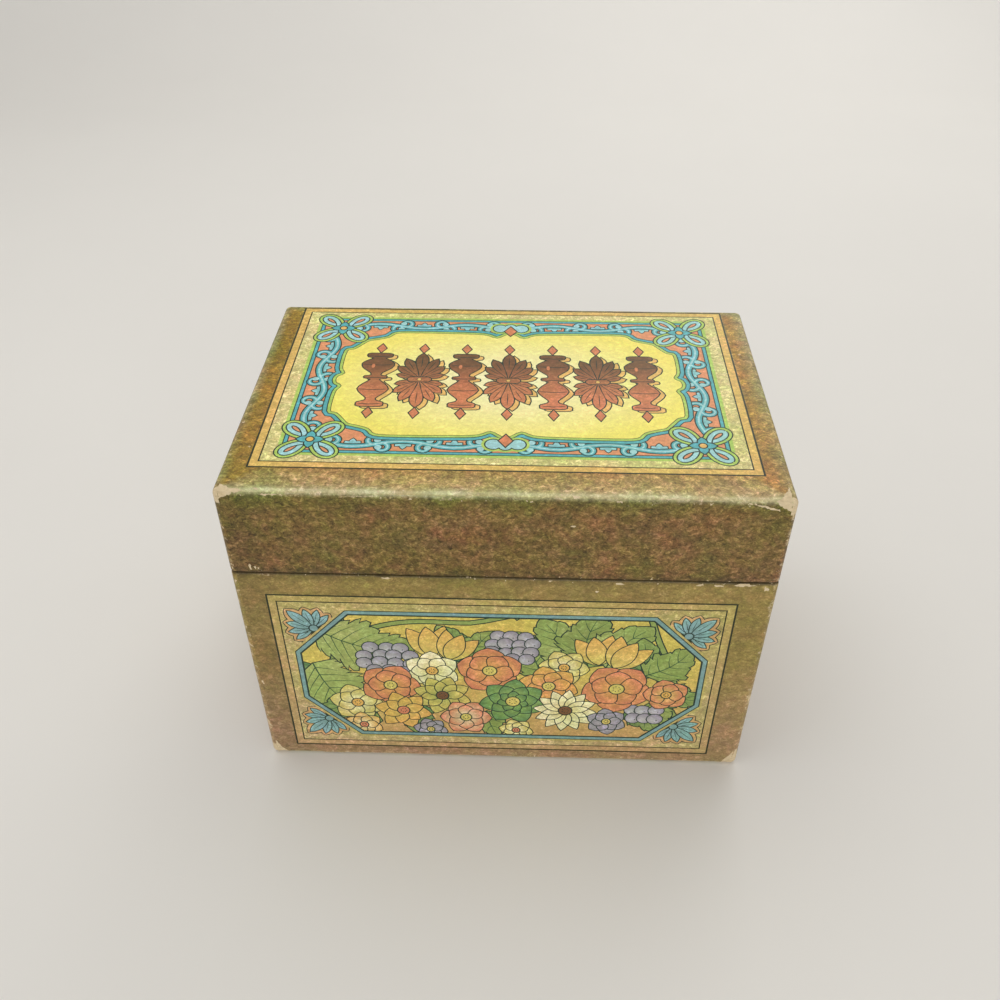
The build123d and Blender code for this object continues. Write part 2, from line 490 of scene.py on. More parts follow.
def leaf_shape(root, angle, length, width, bend):
    """A lobed and toothed leaf with a bent midrib. Returns its outline and its veins."""
    root, along = Vector(root), toward(angle)
    across = left_of(along)
    teeth, vein_pairs = max(4, round(length / 2.7)), max(3, round(length / 4))
    tooth = ((0.25, 0.94), (0.7, 1.04), (1.08, 1.07), (1.02, 0.86))  # place along it, share of the leaf's reach

    def rib(t):
        return root + along * length * t + across * bend * length * math.sin(math.pi * t) * 0.5

    def reach(t):
        lobed = 1 + 0.13 * math.cos(16.5 * t - 1.2)
        return (math.sin(math.pi * t**0.72) ** 0.72 if 0 < t < 1 else 0.0) * width / 2 * lobed

    outline = {1: [], -1: []}
    for side, points in outline.items():
        for i in range(teeth):
            for step, share in tooth:
                t = (i + step) / teeth
                if 0.0 < t < 0.99 and (i or step > 0.5):
                    points.append(rib(t) + across * side * reach(t) * share)
    shape = [rib(0), *outline[-1], rib(1), *reversed(outline[1])]
    veins = [ribbon([rib(i / 8) for i in range(8)], [0.44 - 0.04 * i for i in range(8)])]
    for i in range(vein_pairs):
        t = 0.06 + 0.76 * i / vein_pairs
        end = min(0.97, t + 0.19)
        for side in (1, -1):
            tip = rib(end) + across * side * reach(end) * 0.8
            bow = rib(t).lerp(tip, 0.5) - along * 0.35
            veins.append(ribbon([rib(t), bow, tip], [0.28, 0.22, 0.08]))
    return shape, veins


def smooth_loop(points, steps=3):
    """A closed curve through the points."""
    made = []
    for i in range(len(points)):
        a, b, c, d = (Vector(points[(i + k) % len(points)]) for k in (-1, 0, 1, 2))
        for t in (k / steps for k in range(steps)):
            curve = 2 * b + (c - a) * t + (2 * a - 5 * b + 4 * c - d) * t**2 + (3 * b - a - 3 * c + d) * t**3
            made.append(0.5 * curve)
    return made


def area(points):
    return sum(a.cross(b) for a, b in zip(points, points[1:] + points[:1])) / 2


def grown(points, by):
    """An outline moved outwards by a distance, or inwards where it is negative."""
    sense = 1 if area(points) > 0 else -1
    made = []
    for before, here, after in zip(points[-1:] + points[:-1], points, points[1:] + points[:1]):
        into, out = here - before, after - here
        if into.length < EPSILON or out.length < EPSILON:
            continue
        into, out = into.normalized(), out.normalized()
        normal = Vector((into.y + out.y, -into.x - out.x)) * sense
        if normal.length < 0.2:  # a spike, where the outline turns back on itself
            normal = into - out
        normal.normalize()
        edge = Vector((into.y, -into.x)) * sense
        made.append(here + normal * by / max(0.55, normal.dot(edge)))
    return made


class Sheet:
    """A flat printed sheet. A later shape covers an earlier one."""

    def __init__(self, keyline, weight):
        self.shapes, self.keyline, self.weight = [], keyline, weight

    def fill(self, outline, paint):
        self.shapes.append((outline, paint))

    def inked(self, shapes, halo=None, halo_width=1.0, weight=None):
        """Fills (outline, paint) shapes as one group: all halos, then all keylines, then all fills."""
        weight = self.weight if weight is None else weight
        if halo:
            for outline, _ in shapes:
                self.fill(grown(outline, halo_width + weight), halo)
        for outline, _ in shapes:
            self.fill(grown(outline, weight), self.keyline)
        for outline, paint in shapes:
            self.fill(outline, paint)

    def nested(self, outline, *rings):
        """Fills one outline inside another: (how far it is grown, paint) from the largest in."""
        for by, paint in rings:
            self.fill(grown(outline, by) if by else outline, paint)


def ragged(points, amount, pitch, chance):
    """An outline broken up as a paper tear."""
    made = []
    for here, after in zip(points, points[1:] + points[:1]):
        here, after = Vector(here), Vector(after)
        steps = max(1, round((after - here).length / pitch))
        for i in range(steps):
            jump = Vector((chance.uniform(-1, 1), chance.uniform(-1, 1)))
            made.append(here.lerp(after, i / steps) + jump * amount)
    return made


def fleck(middle, width, height, chance):
    """A small chip in the print, before it is made ragged."""
    x, y = middle
    points = []
    for i in range(9):
        turn = math.tau * (i + chance.uniform(-0.3, 0.3)) / 9
        reach = chance.uniform(0.35, 1.1)
        points.append((x + width * reach * math.cos(turn), y + height * reach * math.sin(turn)))
    return points


# ---------------------------------------------------------------- folding a sheet round its tray


class Fold:
    """The net of a tray's wrap, and where each of its points lies on the folded tray. In millimetres.

    a and b are half the flat face across and along. A wall's distances s run down the net from the edge of that
    face: over the fold to arc, down the wall to wall_end and round the rim to end.
    """

    ARC_ROWS, RIM_ROWS, CORNER_COLUMNS = 6, 4, 8
    FINE, COARSE = 1.5, 5.0

    def __init__(self, half_width, half_depth, closed, mouth, crease, rim, inset, turn_in):
        self.half_width, self.half_depth, self.closed = half_width, half_depth, closed
        self.height = abs(mouth - closed)
        self.up = UP if mouth > closed else DOWN
        self.crease, self.rim, self.inset, self.turn_in = crease, rim, inset, turn_in
        self.a, self.b = half_width - crease, half_depth - crease
        self.arc = math.pi / 2 * crease
        self.wall_end = self.arc + self.height - crease - rim
        self.end = self.wall_end + math.pi / 2 * rim
        walls = max(2, round((self.wall_end - self.arc) / 3))
        self.rows = [self.arc * i / self.ARC_ROWS for i in range(1, self.ARC_ROWS)]
        self.rows += [self.arc + (self.wall_end - self.arc) * i / walls for i in range(walls + 1)]
        lip = self.end - self.wall_end
        self.rows += [self.wall_end + lip * i / self.RIM_ROWS for i in range(1, self.RIM_ROWS + 1)]

    def sides(self):
        """For each wall, the front first: its number, half its length, how far out its fold lies, and its steps."""
        for side in range(4):
            half, reach = (self.a, self.b) if side % 2 == 0 else (self.b, self.a)
            yield side, half, reach, round(2 * half / (self.FINE if side == 0 else self.COARSE))

    @staticmethod
    def turned(side, x, y):
        """A point by the front wall, turned round to another wall."""
        return ((x, y), (-y, x), (-x, -y), (y, -x))[side]

    def profile(self, s):
        """How far out from the flat edge and how deep a wall's point lies, a distance s down the net."""
        if s <= self.arc:
            turn = s / self.crease
            return self.crease * math.sin(turn), self.crease * (1 - math.cos(turn))
        if s <= self.wall_end:
            return self.crease, self.crease + s - self.arc
        turn = (s - self.wall_end) / self.rim
        return self.crease - self.rim * (1 - math.cos(turn)), self.height - self.rim + self.rim * math.sin(turn)

    def solid(self, x, y, depth):
        return Vector((x, y, self.closed + self.up * depth))

    def place(self, point):
        """Where a point of the net lies on the folded tray."""
        x, y = point
        over_x, over_y = abs(x) - self.a, abs(y) - self.b
        if max(over_x, over_y) <= 0:
            return self.solid(x, y, 0)
        if over_x > over_y:
            out, depth = self.profile(over_x)
            return self.solid(math.copysign(self.a + out, x), max(-self.b, min(self.b, y)), depth)
        out, depth = self.profile(over_y)
        return self.solid(max(-self.a, min(self.a, x)), math.copysign(self.b + out, y), depth)

    def front(self, x, z):
        """The net point of a place on the front wall."""
        return Vector((x, -self.b - (abs(z - self.closed) - self.crease + self.arc)))

    def to_crease(self, point):
        """Distance on the sheet from a point to the nearest folded edge."""
        x, y = abs(point[0]), abs(point[1])
        over_x, over_y = x - self.a, y - self.b
        if max(over_x, over_y) <= 0:
            return min(-over_x, -over_y)
        s, t = (over_x, -over_y) if over_x > over_y else (over_y, -over_x)
        return min(max(0, s - self.arc), max(0, self.wall_end - s), max(0, t))

    def outline(self):
        """The edge of the net, with a point at each row of the corners and at each step of the rims."""
        made = []
        for side, half, reach, steps in self.sides():
            down = [(-half, -reach)] + [(-half, -reach - s) for s in self.rows]
            along = [(-half + 2 * half * i / steps, -reach - self.end) for i in range(1, steps)]
            up = [(half, -reach - s) for s in reversed(self.rows)]
            made += [Vector(self.turned(side, x, y)) for x, y in down + along + up]
        return made

    def folds(self):
        """Lines of points along the curved rows of the four walls, which the mesh has to follow."""
        lines = []
        curved = [0.0] + [s for s in self.rows if s <= self.arc + EPSILON or s >= self.wall_end - EPSILON][:-1]
        for side, half, reach, steps in self.sides():
            for s in curved:
                inner = 0 if s else 1  # the corners of the flat face are on the outline already
                line = [-half + 2 * half * i / steps for i in range(inner, steps + 1 - inner)]
                lines.append([Vector(self.turned(side, x, -reach - s)) for x in line])
        return lines

    def grid(self):
        """Loose points that keep the triangles of the flat parts small, finer on top and in front."""
        made = []
        wall = self.wall_end - self.arc
        for i in range(1, int(2 * self.a / self.FINE)):
            x = -self.a + i * self.FINE
            made += [Vector((x, -self.b + j * self.FINE)) for j in range(1, int(2 * self.b / self.FINE))]
            made += [Vector((x, -self.b - self.arc - j * self.FINE)) for j in range(1, int(wall / self.FINE))]
        for side, half, reach, _ in list(self.sides())[1:]:
            for i in range(1, int(2 * half / self.COARSE)):
                for j in range(1, int(wall / self.COARSE) + 1):
                    x, y = -half + i * self.COARSE, -reach - self.arc - j * self.COARSE
                    if self.wall_end + reach + y > 1:
                        made.append(Vector(self.turned(side, x, y)))
        return made


def wound_round(outline, spots):
    """Which of the spots an outline winds round, as a mask. Both are arrays of points."""
    turns = np.zeros(len(spots), int)
    x, y = spots.T
    for (ax, ay), (bx, by) in zip(outline, np.roll(outline, -1, axis=0)):
        side = (bx - ax) * (y - ay) - (x - ax) * (by - ay)
        turns += (ay <= y) & (y < by) & (side > 0)
        turns -= (by <= y) & (y < ay) & (side < 0)
    return turns != 0


def cut_sheet(fold, sheet):
    """Cuts the net along every printed edge. Returns its points, and triangles with the paint of each."""
    points, edges = [], []

    def take(line, closed):
        first, count = len(points), len(line)
        points.extend(Vector(p) for p in line)
        edges.extend((first + i, first + i + 1) for i in range(count - 1))
        if closed:
            edges.append((first + count - 1, first))

    for outline, _ in sheet.shapes:
        take(outline, True)
    for line in fold.folds():
        take(line, False)
    points.extend(fold.grid())
    made, _, triangles, _, _, _ = delaunay_2d_cdt(points, edges, [], 0, 1e-4, False)
    spots = np.array([(made[a] + made[b] + made[c]) / 3 for a, b, c in triangles])
    owners = np.full(len(spots), -1)
    for index, (outline, _) in enumerate(sheet.shapes):
        edge = np.array(outline)
        near = np.flatnonzero(((spots >= edge.min(0)) & (spots <= edge.max(0))).all(1))
        owners[near[wound_round(edge, spots[near])]] = index
    on_net = wound_round(np.array(sheet.shapes[0][0]), spots)
    printed = []
    for triangle, owner, kept in zip(triangles, owners, on_net):
        paint = sheet.shapes[owner][1]
        if kept and not paint.hole:
            printed.append((triangle, paint))
    return made, printed


class Tears:
    """Where the print is torn to bare fibre at the folded corners: how far down each corner of CORNERS."""

    RAGGED, EDGE = 0.6, 1.6  # how far a tear's foot wanders, as a share of its depth, and how softly it ends
    STEEP = 3.2
    CORNER_WEAR, GONE = 0.055, 0.5

    def __init__(self, depths, chance):
        self.depths, self.start = dict(zip(CORNERS, depths)), chance.uniform(0, 90)

    def wear(self, side, s, turn):
        """How worn a point of a folded corner is. Above about 1.15 the print is gone."""
        wave = noise.noise(Vector((turn * 1.2, s * 0.3, self.start + side[0] * 3 + side[1] * 7)))
        gone = clamp((self.depths[side] * (1 + self.RAGGED * wave) - s) / self.EDGE + 0.5)
        fade = min(1.0, self.STEEP * math.sin(turn))
        if side[1] > 0:
            fade *= min(1.0, self.STEEP * math.cos(turn))
        return 1.0 + self.CORNER_WEAR * math.sin(2 * turn) + self.GONE * gone * fade


def add_object(name, data):
    """A new object of the scene that holds some data. A bmesh becomes its mesh."""
    if isinstance(data, bmesh.types.BMesh):
        mesh, data = data, bpy.data.meshes.new(name)
        mesh.to_mesh(data)
        mesh.free()
    made = bpy.data.objects.new(name, data)
    bpy.context.scene.collection.objects.link(made)
    return made


class Skin:
    """A printed mesh in the making."""

    def __init__(self):
        self.mesh = bmesh.new()
        layers = self.mesh.loops.layers
        self.ink = layers.float_color.new("ink")
        self.torn, self.crease = layers.float.new("torn"), layers.float.new("crease")

    def vert(self, place):
        return self.mesh.verts.new(place)

    def face(self, corners, flipped=False):
        """corners: (vertex, ink, torn, crease) each. crease is how near a fold lies. No face is made twice."""
        order = corners[::-1] if flipped else corners
        try:
            face = self.mesh.faces.new([c[0] for c in order])
        except ValueError:
            return
        face.smooth = True
        for loop, (_, shade, bare, near) in zip(face.loops, order):
            loop[self.ink], loop[self.torn], loop[self.crease] = shade, bare, near


def fold_corners(skin, fold, ground, tears):
    """The four rounded corners between the walls, each a fan at the top and a strip below."""
    turns = [math.pi / 2 * i / fold.CORNER_COLUMNS for i in range(fold.CORNER_COLUMNS + 1)]
    rows = [0.0, *fold.rows]
    for side in CORNERS:
        across, along = side
        flipped = (across * along > 0) == (fold.up == UP)
        grid = []
        for out, depth in map(fold.profile, rows):
            edge = [(fold.a + out * math.cos(turn), fold.b + out * math.sin(turn)) for turn in turns]
            grid.append([skin.vert(fold.solid(across * x, along * y, depth)) for x, y in edge])
        for i, (above, below) in enumerate(zip(rows, rows[1:])):
            shade = ground.at(Vector((across * (fold.a + (above + below) / 2), along * fold.b)))
            for j in range(fold.CORNER_COLUMNS):
                ring = ((i, j), (i + 1, j), (i + 1, j + 1), (i, j + 1))[: 4 if i else 3]
                corners = [(grid[r][c], shade, 0.0, tears.wear(side, rows[r], turns[c])) for r, c in ring]
                skin.face(corners, flipped)


def fold_turn_in(skin, fold, shade):
    """The paper from the rim's crest inwards, over the lip and down inside the tray."""
    lip, steps, tightest, rubbed = 0.25, 3, 0.25, 0.6
    ring = []
    for side, _, _, count in fold.sides():
        ring += [(side, -1 + 2 * i / count, None) for i in range(count + 1)]
        ring += [(side, 1, math.pi / 2 * i / fold.CORNER_COLUMNS) for i in range(1, fold.CORNER_COLUMNS)]

    def ring_point(side, share, turn, inset, depth):
        radius = max(fold.crease - inset, tightest)
        half_x, half_y = fold.half_width - inset - radius, fold.half_depth - inset - radius
        half, reach = (half_x, half_y) if side % 2 == 0 else (half_y, half_x)
        if turn is None:
            x, y = share * half, -reach - radius
        else:
            x, y = half + radius * math.sin(turn), -reach - radius * math.cos(turn)
        return fold.solid(*fold.turned(side, x, y), depth)

    levels = [(fold.rim, fold.height), (fold.inset - lip, fold.height)]
    for angle in (math.pi / 2 * i / steps for i in range(1, steps + 1)):
        levels.append((fold.inset - lip + lip * math.sin(angle), fold.height - lip + lip * math.cos(angle)))
    levels += [(fold.inset, fold.height - 2.5), (fold.inset, fold.height - fold.turn_in)]
    loops = [[skin.vert(ring_point(*key, *level)) for key in ring] for level in levels]
    for i, (upper, lower) in enumerate(zip(loops, loops[1:])):
        worn = 1.0 if i == 0 else rubbed if i <= steps else 0.0
        for k in range(len(ring)):
            n = (k + 1) % len(ring)
            skin.face([(v, shade, 0.0, worn) for v in (upper[k], lower[k], lower[n], upper[n])], fold.up == UP)


def wrap_mesh(name, fold, sheet, ground, tears, seed):
    """Builds the folded wrap, with its corners and its turn-in over the rim, and gives it a slight wave."""
    near_width, wave, wave_width = 6, 0.05, 14
    curl_up, bare_depth, bare_fibre = 0.1, 0.05, 0.04
    skin = Skin()
    mesh = skin.mesh
    points, triangles = cut_sheet(fold, sheet)
    verts = [skin.vert(fold.place(p)) for p in points]
    near = [max(0.0, 1 - fold.to_crease(p) / near_width) for p in points]
    for triangle, paint in triangles:
        skin.face([(verts[i], paint.at(points[i]), paint.torn, near[i]) for i in triangle], fold.up == UP)
    fold_corners(skin, fold, ground, tears)
    fold_turn_in(skin, fold, ground.at(Vector((0, -fold.b - 5))))

    bmesh.ops.remove_doubles(mesh, verts=mesh.verts, dist=2e-3)
    bmesh.ops.dissolve_degenerate(mesh, edges=mesh.edges, dist=1e-4)
    mesh.normal_update()
    for vert in mesh.verts:
        states = [loop[skin.torn] for loop in vert.link_loops]
        if not states:
            continue
        lift = wave * noise.noise(vert.co / wave_width + Vector((seed, 0, 0)))
        if max(states) > 0.5:  # torn: the edge of the print curls up, and the fibre inside lies lower
            lift += curl_up if min(states) < 0.5 else bare_fibre * noise.noise(vert.co * 2.3) - bare_depth
        vert.co += vert.normal * lift
    for vert in [v for v in mesh.verts if not v.link_faces]:
        mesh.verts.remove(vert)
    bmesh.ops.scale(mesh, vec=(MM, MM, MM), verts=mesh.verts)
    return add_object(name, mesh)


# ---------------------------------------------------------------- the printed art


def inner_frame(sheet, inks, sizes, band, field, width, height, middle):
    """Outer rule, flat band, fine rule and field, one inside another."""
    weight, band_width, fine = sizes.rule_weight / MM, sizes.band / MM, sizes.fine_weight / MM
    inset = 0
    for paint, reach in ((inks["rule"], weight), (band, band_width), (inks["rule"], fine), (field, 0)):
        sheet.fill(rectangle(width - 2 * inset, height - 2 * inset, middle), paint)
        inset += reach


def laced(sheet, path, width, paint, pieces):
    """A closed ribbon drawn piece by piece, so that it passes over and under itself."""
    count = len(path)
    for k in range(pieces):
        first, last = count * k // pieces, count * (k + 1) // pieces
        for extra, reach, ink in ((2 * sheet.weight, 0, sheet.keyline), (0, 1, paint)):
            run = [path[i % count] for i in range(first - reach, last + 1 + reach)]
            sheet.fill(ribbon(run, width + extra), ink)


def knot(sheet, inks, middle, reach):
    """A looped knot of one ribbon, with an open flower in its middle, for the corners of the border."""
    steps, start, wide, narrow = 96, 6, 3, 2.1
    band, halo = 1.15, 1.05
    unit, path = reach / (wide + narrow), []
    for t in (math.tau * i / steps for i in range(steps)):
        x = wide * math.cos(t) + narrow * math.cos(3 * t)
        y = wide * math.sin(t) - narrow * math.sin(3 * t)
        path.append(Vector(middle) + Vector((x - y, x + y)) * unit * math.sqrt(0.5))
    path = path[start:] + path[:start]
    ring = path + path[:1]
    sheet.fill(ribbon(ring, band + 2 * (halo + sheet.weight)), sheet.keyline)
    sheet.fill(ribbon(ring, band + 2 * halo), inks["lime"])
    sheet.fill(path, inks["coral"])
    laced(sheet, path, band, inks["sky"], 16)
    sheet.inked([(petal(middle, math.pi / 2 * k, 3.4, 2.3, 0.9), inks["turquoise"]) for k in range(4)])
    sheet.inked([(disc(middle, 0.9, 14), inks["amber"])])


def running_vine(sheet, inks, start, end, waves, swing, size_of):
    """A waving stem from start to end, with two scrolls and a sprig in each of its hollows."""
    fine = 10
    stem_width, stem_gleam, scroll_width, scroll_gleam = 1.6, 0.6, 1.5, 0.55
    start, end = Vector(start), Vector(end)
    way = end - start
    along = way.normalized()
    across = left_of(along)
    heading = math.atan2(along.y, along.x)

    def stem(share):
        return start + way * share / waves + across * swing * math.sin(math.pi * share)

    path = [stem(i / fine) for i in range(waves * fine + 1)]
    light, deep = inks["sky"], inks["turquoise"]
    sprigs, scrolls, gleams = [], [(ribbon(path, stem_width), deep)], [ribbon(path, stem_gleam)]
    for k in range(waves):
        hand = 1 if k % 2 == 0 else -1
        for share, back, turn in ((0.1, 0, -hand), (0.9, 1, hand)):
            scroll = (stem(k + share), heading + back * math.pi + turn * 0.1, size_of, turn * 4.9)
            band, bead = curl(*scroll, scroll_width)
            scrolls += [(band, deep), (bead, light)]
            gleams.append(curl(*scroll, scroll_gleam)[0])
        root = stem(k + 0.5)
        for lean, reach in ((0.75, 2.9), (-0.75, 2.9), (0.0, 3.3)):
            angle = heading - hand * math.pi / 2 + lean
            fade = Paint(deep.first, light.first, root, root + toward(angle) * reach, sponge=0.28)
            sprigs.append((petal(root, angle, reach, 1.7, 1.2, 8), fade))
    sheet.inked(sprigs, weight=0.28)
    sheet.inked(scrolls)
    for gleam in gleams:
        sheet.fill(gleam, light)


def baluster(x, y, half, width):
    """A turned column, as an outline round its axis."""
    profile = (  # height and half width, as shares
        (-1.0, 0.62), (-0.93, 0.78), (-0.86, 0.74), (-0.8, 0.34), (-0.7, 0.28), (-0.56, 0.62), (-0.38, 0.92),
        (-0.2, 0.66), (-0.06, 0.3), (0.0, 0.3), (0.03, 0.66), (0.1, 0.66), (0.13, 0.3), (0.24, 0.34),
        (0.42, 0.86), (0.6, 0.98), (0.74, 0.6), (0.82, 0.32), (0.86, 0.7), (0.94, 0.78), (1.0, 0.58),
    )
    right = [(x + w * width / 2, y + h * half) for h, w in profile]
    left = [(x - w * width / 2, y + h * half) for h, w in reversed(profile)]
    return smooth_loop(right + left, 2)


def palmette(x, y, half, width):
    """Two fans of separate petals, back to back, on a waist, lowest petals first."""
    petals = ((1.28, 0.5, 0.2), (0.82, 0.66, 0.24), (0.42, 0.82, 0.25), (0, 0.98, 0.3))  # turn, length, width
    shapes = []
    for sense in (1, -1):
        root = (x, y + sense * half * 0.04)
        for turn, reach, fat in petals:
            for hand in (1, -1) if turn else (1,):
                heading = sense * math.pi / 2 - hand * turn
                shapes.append(petal(root, heading, half * reach, width * fat, 1.9))
    return shapes


def diamond(middle, half_width, half_height):
    x, y = middle
    points = ((x, y + half_height), (x - half_width, y), (x, y - half_height), (x + half_width, y))
    return [Vector(p) for p in points]


def turned_row(sheet, inks, middle):
    """Seven upright motifs, turned columns and palmettes in turn, with a cast shade and diamond finials."""
    x0, y0 = middle
    half, pitch, cast = 13.4, 12.3, Vector((1.35, -0.9))
    column_width, palmette_width = 9.0, 11.4
    rings = ((0.065, 6.9), (-0.9, 6.2), (0.9, 6.0), (-0.38, 7.7), (0.56, 8.1))  # height as a share, and width
    sag, taper = 0.35, [0.1] + [0.28] * 7 + [0.1]
    ends = (x0, y0 + 0.6 * half), (x0, y0 - 0.6 * half)
    fill = Paint(inks["umber"].first, inks["brick"].first, *ends, sponge=0.4)
    for k in range(-3, 4):
        x = x0 + k * pitch
        shapes = [baluster(x, y0, half, column_width)] if k % 2 else palmette(x, y0, half, palmette_width)
        sheet.inked([([p + cast for p in s], inks["amber"]) for s in shapes])
        sheet.inked([(s, fill) for s in shapes])
        if k % 2:
            for level, width in rings:
                path = [
                    Vector((x + width / 2 * (i / 4 - 1), y0 + level * half - sag * math.sin(math.pi * i / 8)))
                    for i in range(9)
                ]
                sheet.fill(ribbon(path, taper), sheet.keyline)
            sheet.inked([(disc((x - 1.3, y0 + 0.5 * half), 0.5, 10, 2.2), inks["brick"])], weight=0.01)
        else:
            for s in shapes:
                sheet.inked([(s, fill)], weight=0.22)
                vein = [s[0].lerp(s[len(s) // 2], t) for t in (0.45, 0.65, 0.86)]
                sheet.fill(ribbon(vein, [0.12, 0.26, 0.1]), sheet.keyline)
            sheet.inked([(rectangle(6.4, 2.2, (x, y0), cut=(0.7, 0.7)), fill)])
            sheet.inked([(disc((x, y0), 0.55, 12), inks["amber"])], weight=0.15)
        for sense in (1, -1):
            sheet.inked([(diamond((x, y0 + sense * (half + 2.9)), 1.25, 2.3), inks["brick"])])


def cartouche(width, height, middle):
    """An outline with hollowed corners and a low point in each side."""
    x, y = width / 2, height / 2
    quarter = [
        (x - 0.6, 2.2), (x - 1.9, 3.4), (x - 0.9, 6.2), (x - 1.0, y - 11.5), (x - 3.2, y - 10.0),
        (x - 5.2, y - 7.4), (x - 6.8, y - 5.4), (x - 9.6, y - 4.4), (x - 12.4, y - 3.2), (x - 14.6, y - 0.8),
        (x - 21, y - 0.3), (10.5, y - 0.6), (6.2, y - 1.4), (4.0, y - 2.6), (2.0, y - 1.0),
    ]
    points = [(x, 0), *quarter, (0, y)]
    points += [(-p, q) for p, q in reversed(quarter)]
    points += [(-x, 0)]
    points += [(-p, -q) for p, q in quarter]
    points += [(0, -y)]
    points += [(p, -q) for p, q in reversed(quarter)]
    return [p + Vector(middle) for p in smooth_loop(points)]


def lid_art(sheet, inks, sizes):
    """The top of the lid: a frame, a vine border with corner knots, and a row of motifs in a cartouche."""
    middle = Vector((0, sizes.lid_frame_back / MM))
    width, depth = sizes.lid_frame_width / MM, sizes.lid_frame_depth / MM
    inner_frame(sheet, inks, sizes, inks["lid_band"], inks["lid_field"], width, depth, middle)
    x, y = width / 2 - 8.3, depth / 2 - 7.7
    border = rectangle(2 * x, 2 * y, middle, cut=(3, 3))
    key, edge, lime = sheet.keyline, inks["turquoise"], inks["lime"]
    sheet.nested(border, (2.3, lime), (1.35, key), (1.08, edge), (0.28, key), (0, inks["coral"]))
    for sense in (1, -1):
        for (start, end), *vine in (
            (((-x + 10, sense * (y - 2.9)), (x - 10, sense * (y - 2.9))), 7, 1.25, 1.95),
            (((sense * (x - 3.6), y - 9), (sense * (x - 3.6), -y + 9)), 4, 1.6, 2.2),
        ):
            ends = (Vector(start) + middle, Vector(end) + middle)[::sense]
            running_vine(sheet, inks, *ends, *vine)
    window = cartouche(width - 30, depth - 26.6, middle)
    pale, deep, reach = inks["cream"].first, inks["lemon"].first, width / 2 - 14
    glow = Paint(pale, deep, middle, reach=reach, squash=1.7, sponge=0.18)
    rings = ((1.5, key), (1.22, edge), (0.28, key), (0, lime), (-0.75, inks["rule"]), (-0.95, glow))
    sheet.nested(window, *rings)
    for side_x, side_y in CORNERS:
        knot(sheet, inks, (middle.x + side_x * (x - 5.4), middle.y + side_y * (y - 4.4)), 8.6)
    for sense in (1, -1):
        root = middle + Vector((0, sense * (depth / 2 - 11.2)))
        discs = ((-3.1, 0, 2.0), (3.1, 0, 2.0), (0, 0.6, 1.7))
        trefoil = [(disc(root + Vector((dx, sense * dy)), r, 16), inks["sky"]) for dx, dy, r in discs]
        sheet.inked(trefoil, lime, 0.7)
        sheet.inked([(diamond(root - Vector((0, sense * 1.6)), 1.7, 2.6), inks["brick"])])
    turned_row(sheet, inks, middle + Vector((0, 0.6)))


def bloom(sheet, middle, radius, count, outer, inner, heart, rings, width, turn, point):
    """An open flower of overlapping petals in rings, shaded from its heart outwards."""
    middle = Vector(middle)
    for ring in range(rings):
        reach = radius * (1 - 0.27 * ring)
        core = inner.first.lerp(outer.first, 0.12 * ring)
        paint = Paint(core, outer.first, middle, reach=reach, sponge=0.42)
        for k in range(count):
            angle = turn + math.tau * (k + 0.5 * (ring % 2)) / count
            shape = petal(middle, angle, reach, width * math.tau * reach / count * 0.62, point, 12)
            sheet.inked([(shape, paint)], weight=0.3)
    sheet.inked([(disc(middle, radius * 0.2, 16), heart)])
    for k in range(7):
        sheet.fill(disc(middle + toward(k * 0.9) * radius * 0.1, 0.2, 6), sheet.keyline)


def cluster(sheet, middle, width, height, size_of, outer, inner, chance):
    """A head of small round florets, packed in rows inside an oval."""
    rows = max(1, round(height / (size_of * 1.6)))
    for j in range(rows):
        level = (j + 0.5) / rows * 2 - 1
        half = width / 2 * math.sqrt(max(0.1, 1 - level**2 * 0.8))
        count = max(1, round(2 * half / (size_of * 1.75)))
        for i in range(count):
            across = ((i + 0.5) / count * 2 - 1) * half
            x = across + chance.uniform(-0.5, 0.5)
            y = level * height / 2 + chance.uniform(-0.4, 0.4)
            spot = Vector(middle) + Vector((x, y))
            lit = spot + Vector((-0.3, 0.4)) * size_of
            glow = Paint(inner.first, outer.first, lit, reach=size_of * 1.25, sponge=0.3)
            sheet.inked([(disc(spot, size_of, 14, chance.uniform(0.88, 1.0)), glow)], weight=0.3)
            sheet.fill(disc(spot + Vector((0.25, 0.3)) * size_of, 0.22, 6), sheet.keyline)


def tulip(sheet, root, angle, length, outer, inner):
    """A closed flower of three petals."""
    paint = Paint(outer.first, inner.first, root, root + toward(angle) * length, sponge=0.4)
    for lean, reach in ((0.42, 1), (-0.42, 1), (0.0, 0.92)):
        sheet.inked([(petal(root, angle + lean, length * reach, length * 0.46, 0.85, 12), paint)], weight=0.3)


def corner_fan(sheet, inks, middle, sense):
    """Seven slender lobes and a disc, which fill a corner outside the picture frame."""
    heading = math.atan2(sense[1], sense[0])
    lobes = ((1.5, 6.6, 1.9), (1.02, 7.0, 2.1), (0.52, 7.2, 2.3), (0.0, 9.0, 2.7))  # turn, length and width
    lobes = [(hand * turn, *rest) for turn, *rest in lobes for hand in ((-1, 1) if turn else (1,))]
    shapes = [petal(middle, heading + turn, reach, width, 1.3, 12) for turn, reach, width in lobes]
    for by, paint in ((1.25, sheet.keyline), (1.0, inks["petal_halo"])):
        for turn, reach, width in lobes:
            sheet.fill(petal(middle, heading + turn, reach + by, width + 2 * by, 1.5, 14), paint)
    for shape in shapes:
        tip = shape[len(shape) // 2]
        lit = Paint(inks["slate"].first, inks["sky"].first, middle, Vector(middle).lerp(tip, 2.2), sponge=0.4)
        sheet.inked([(shape, lit)], weight=0.28)
        vein = [shape[0].lerp(tip, t) for t in (0.35, 0.6, 0.85)]
        sheet.fill(ribbon(vein, [0.2, 0.16, 0.08]), sheet.keyline)
    sheet.inked([(disc(middle, 1.1, 14), inks["slate"])])


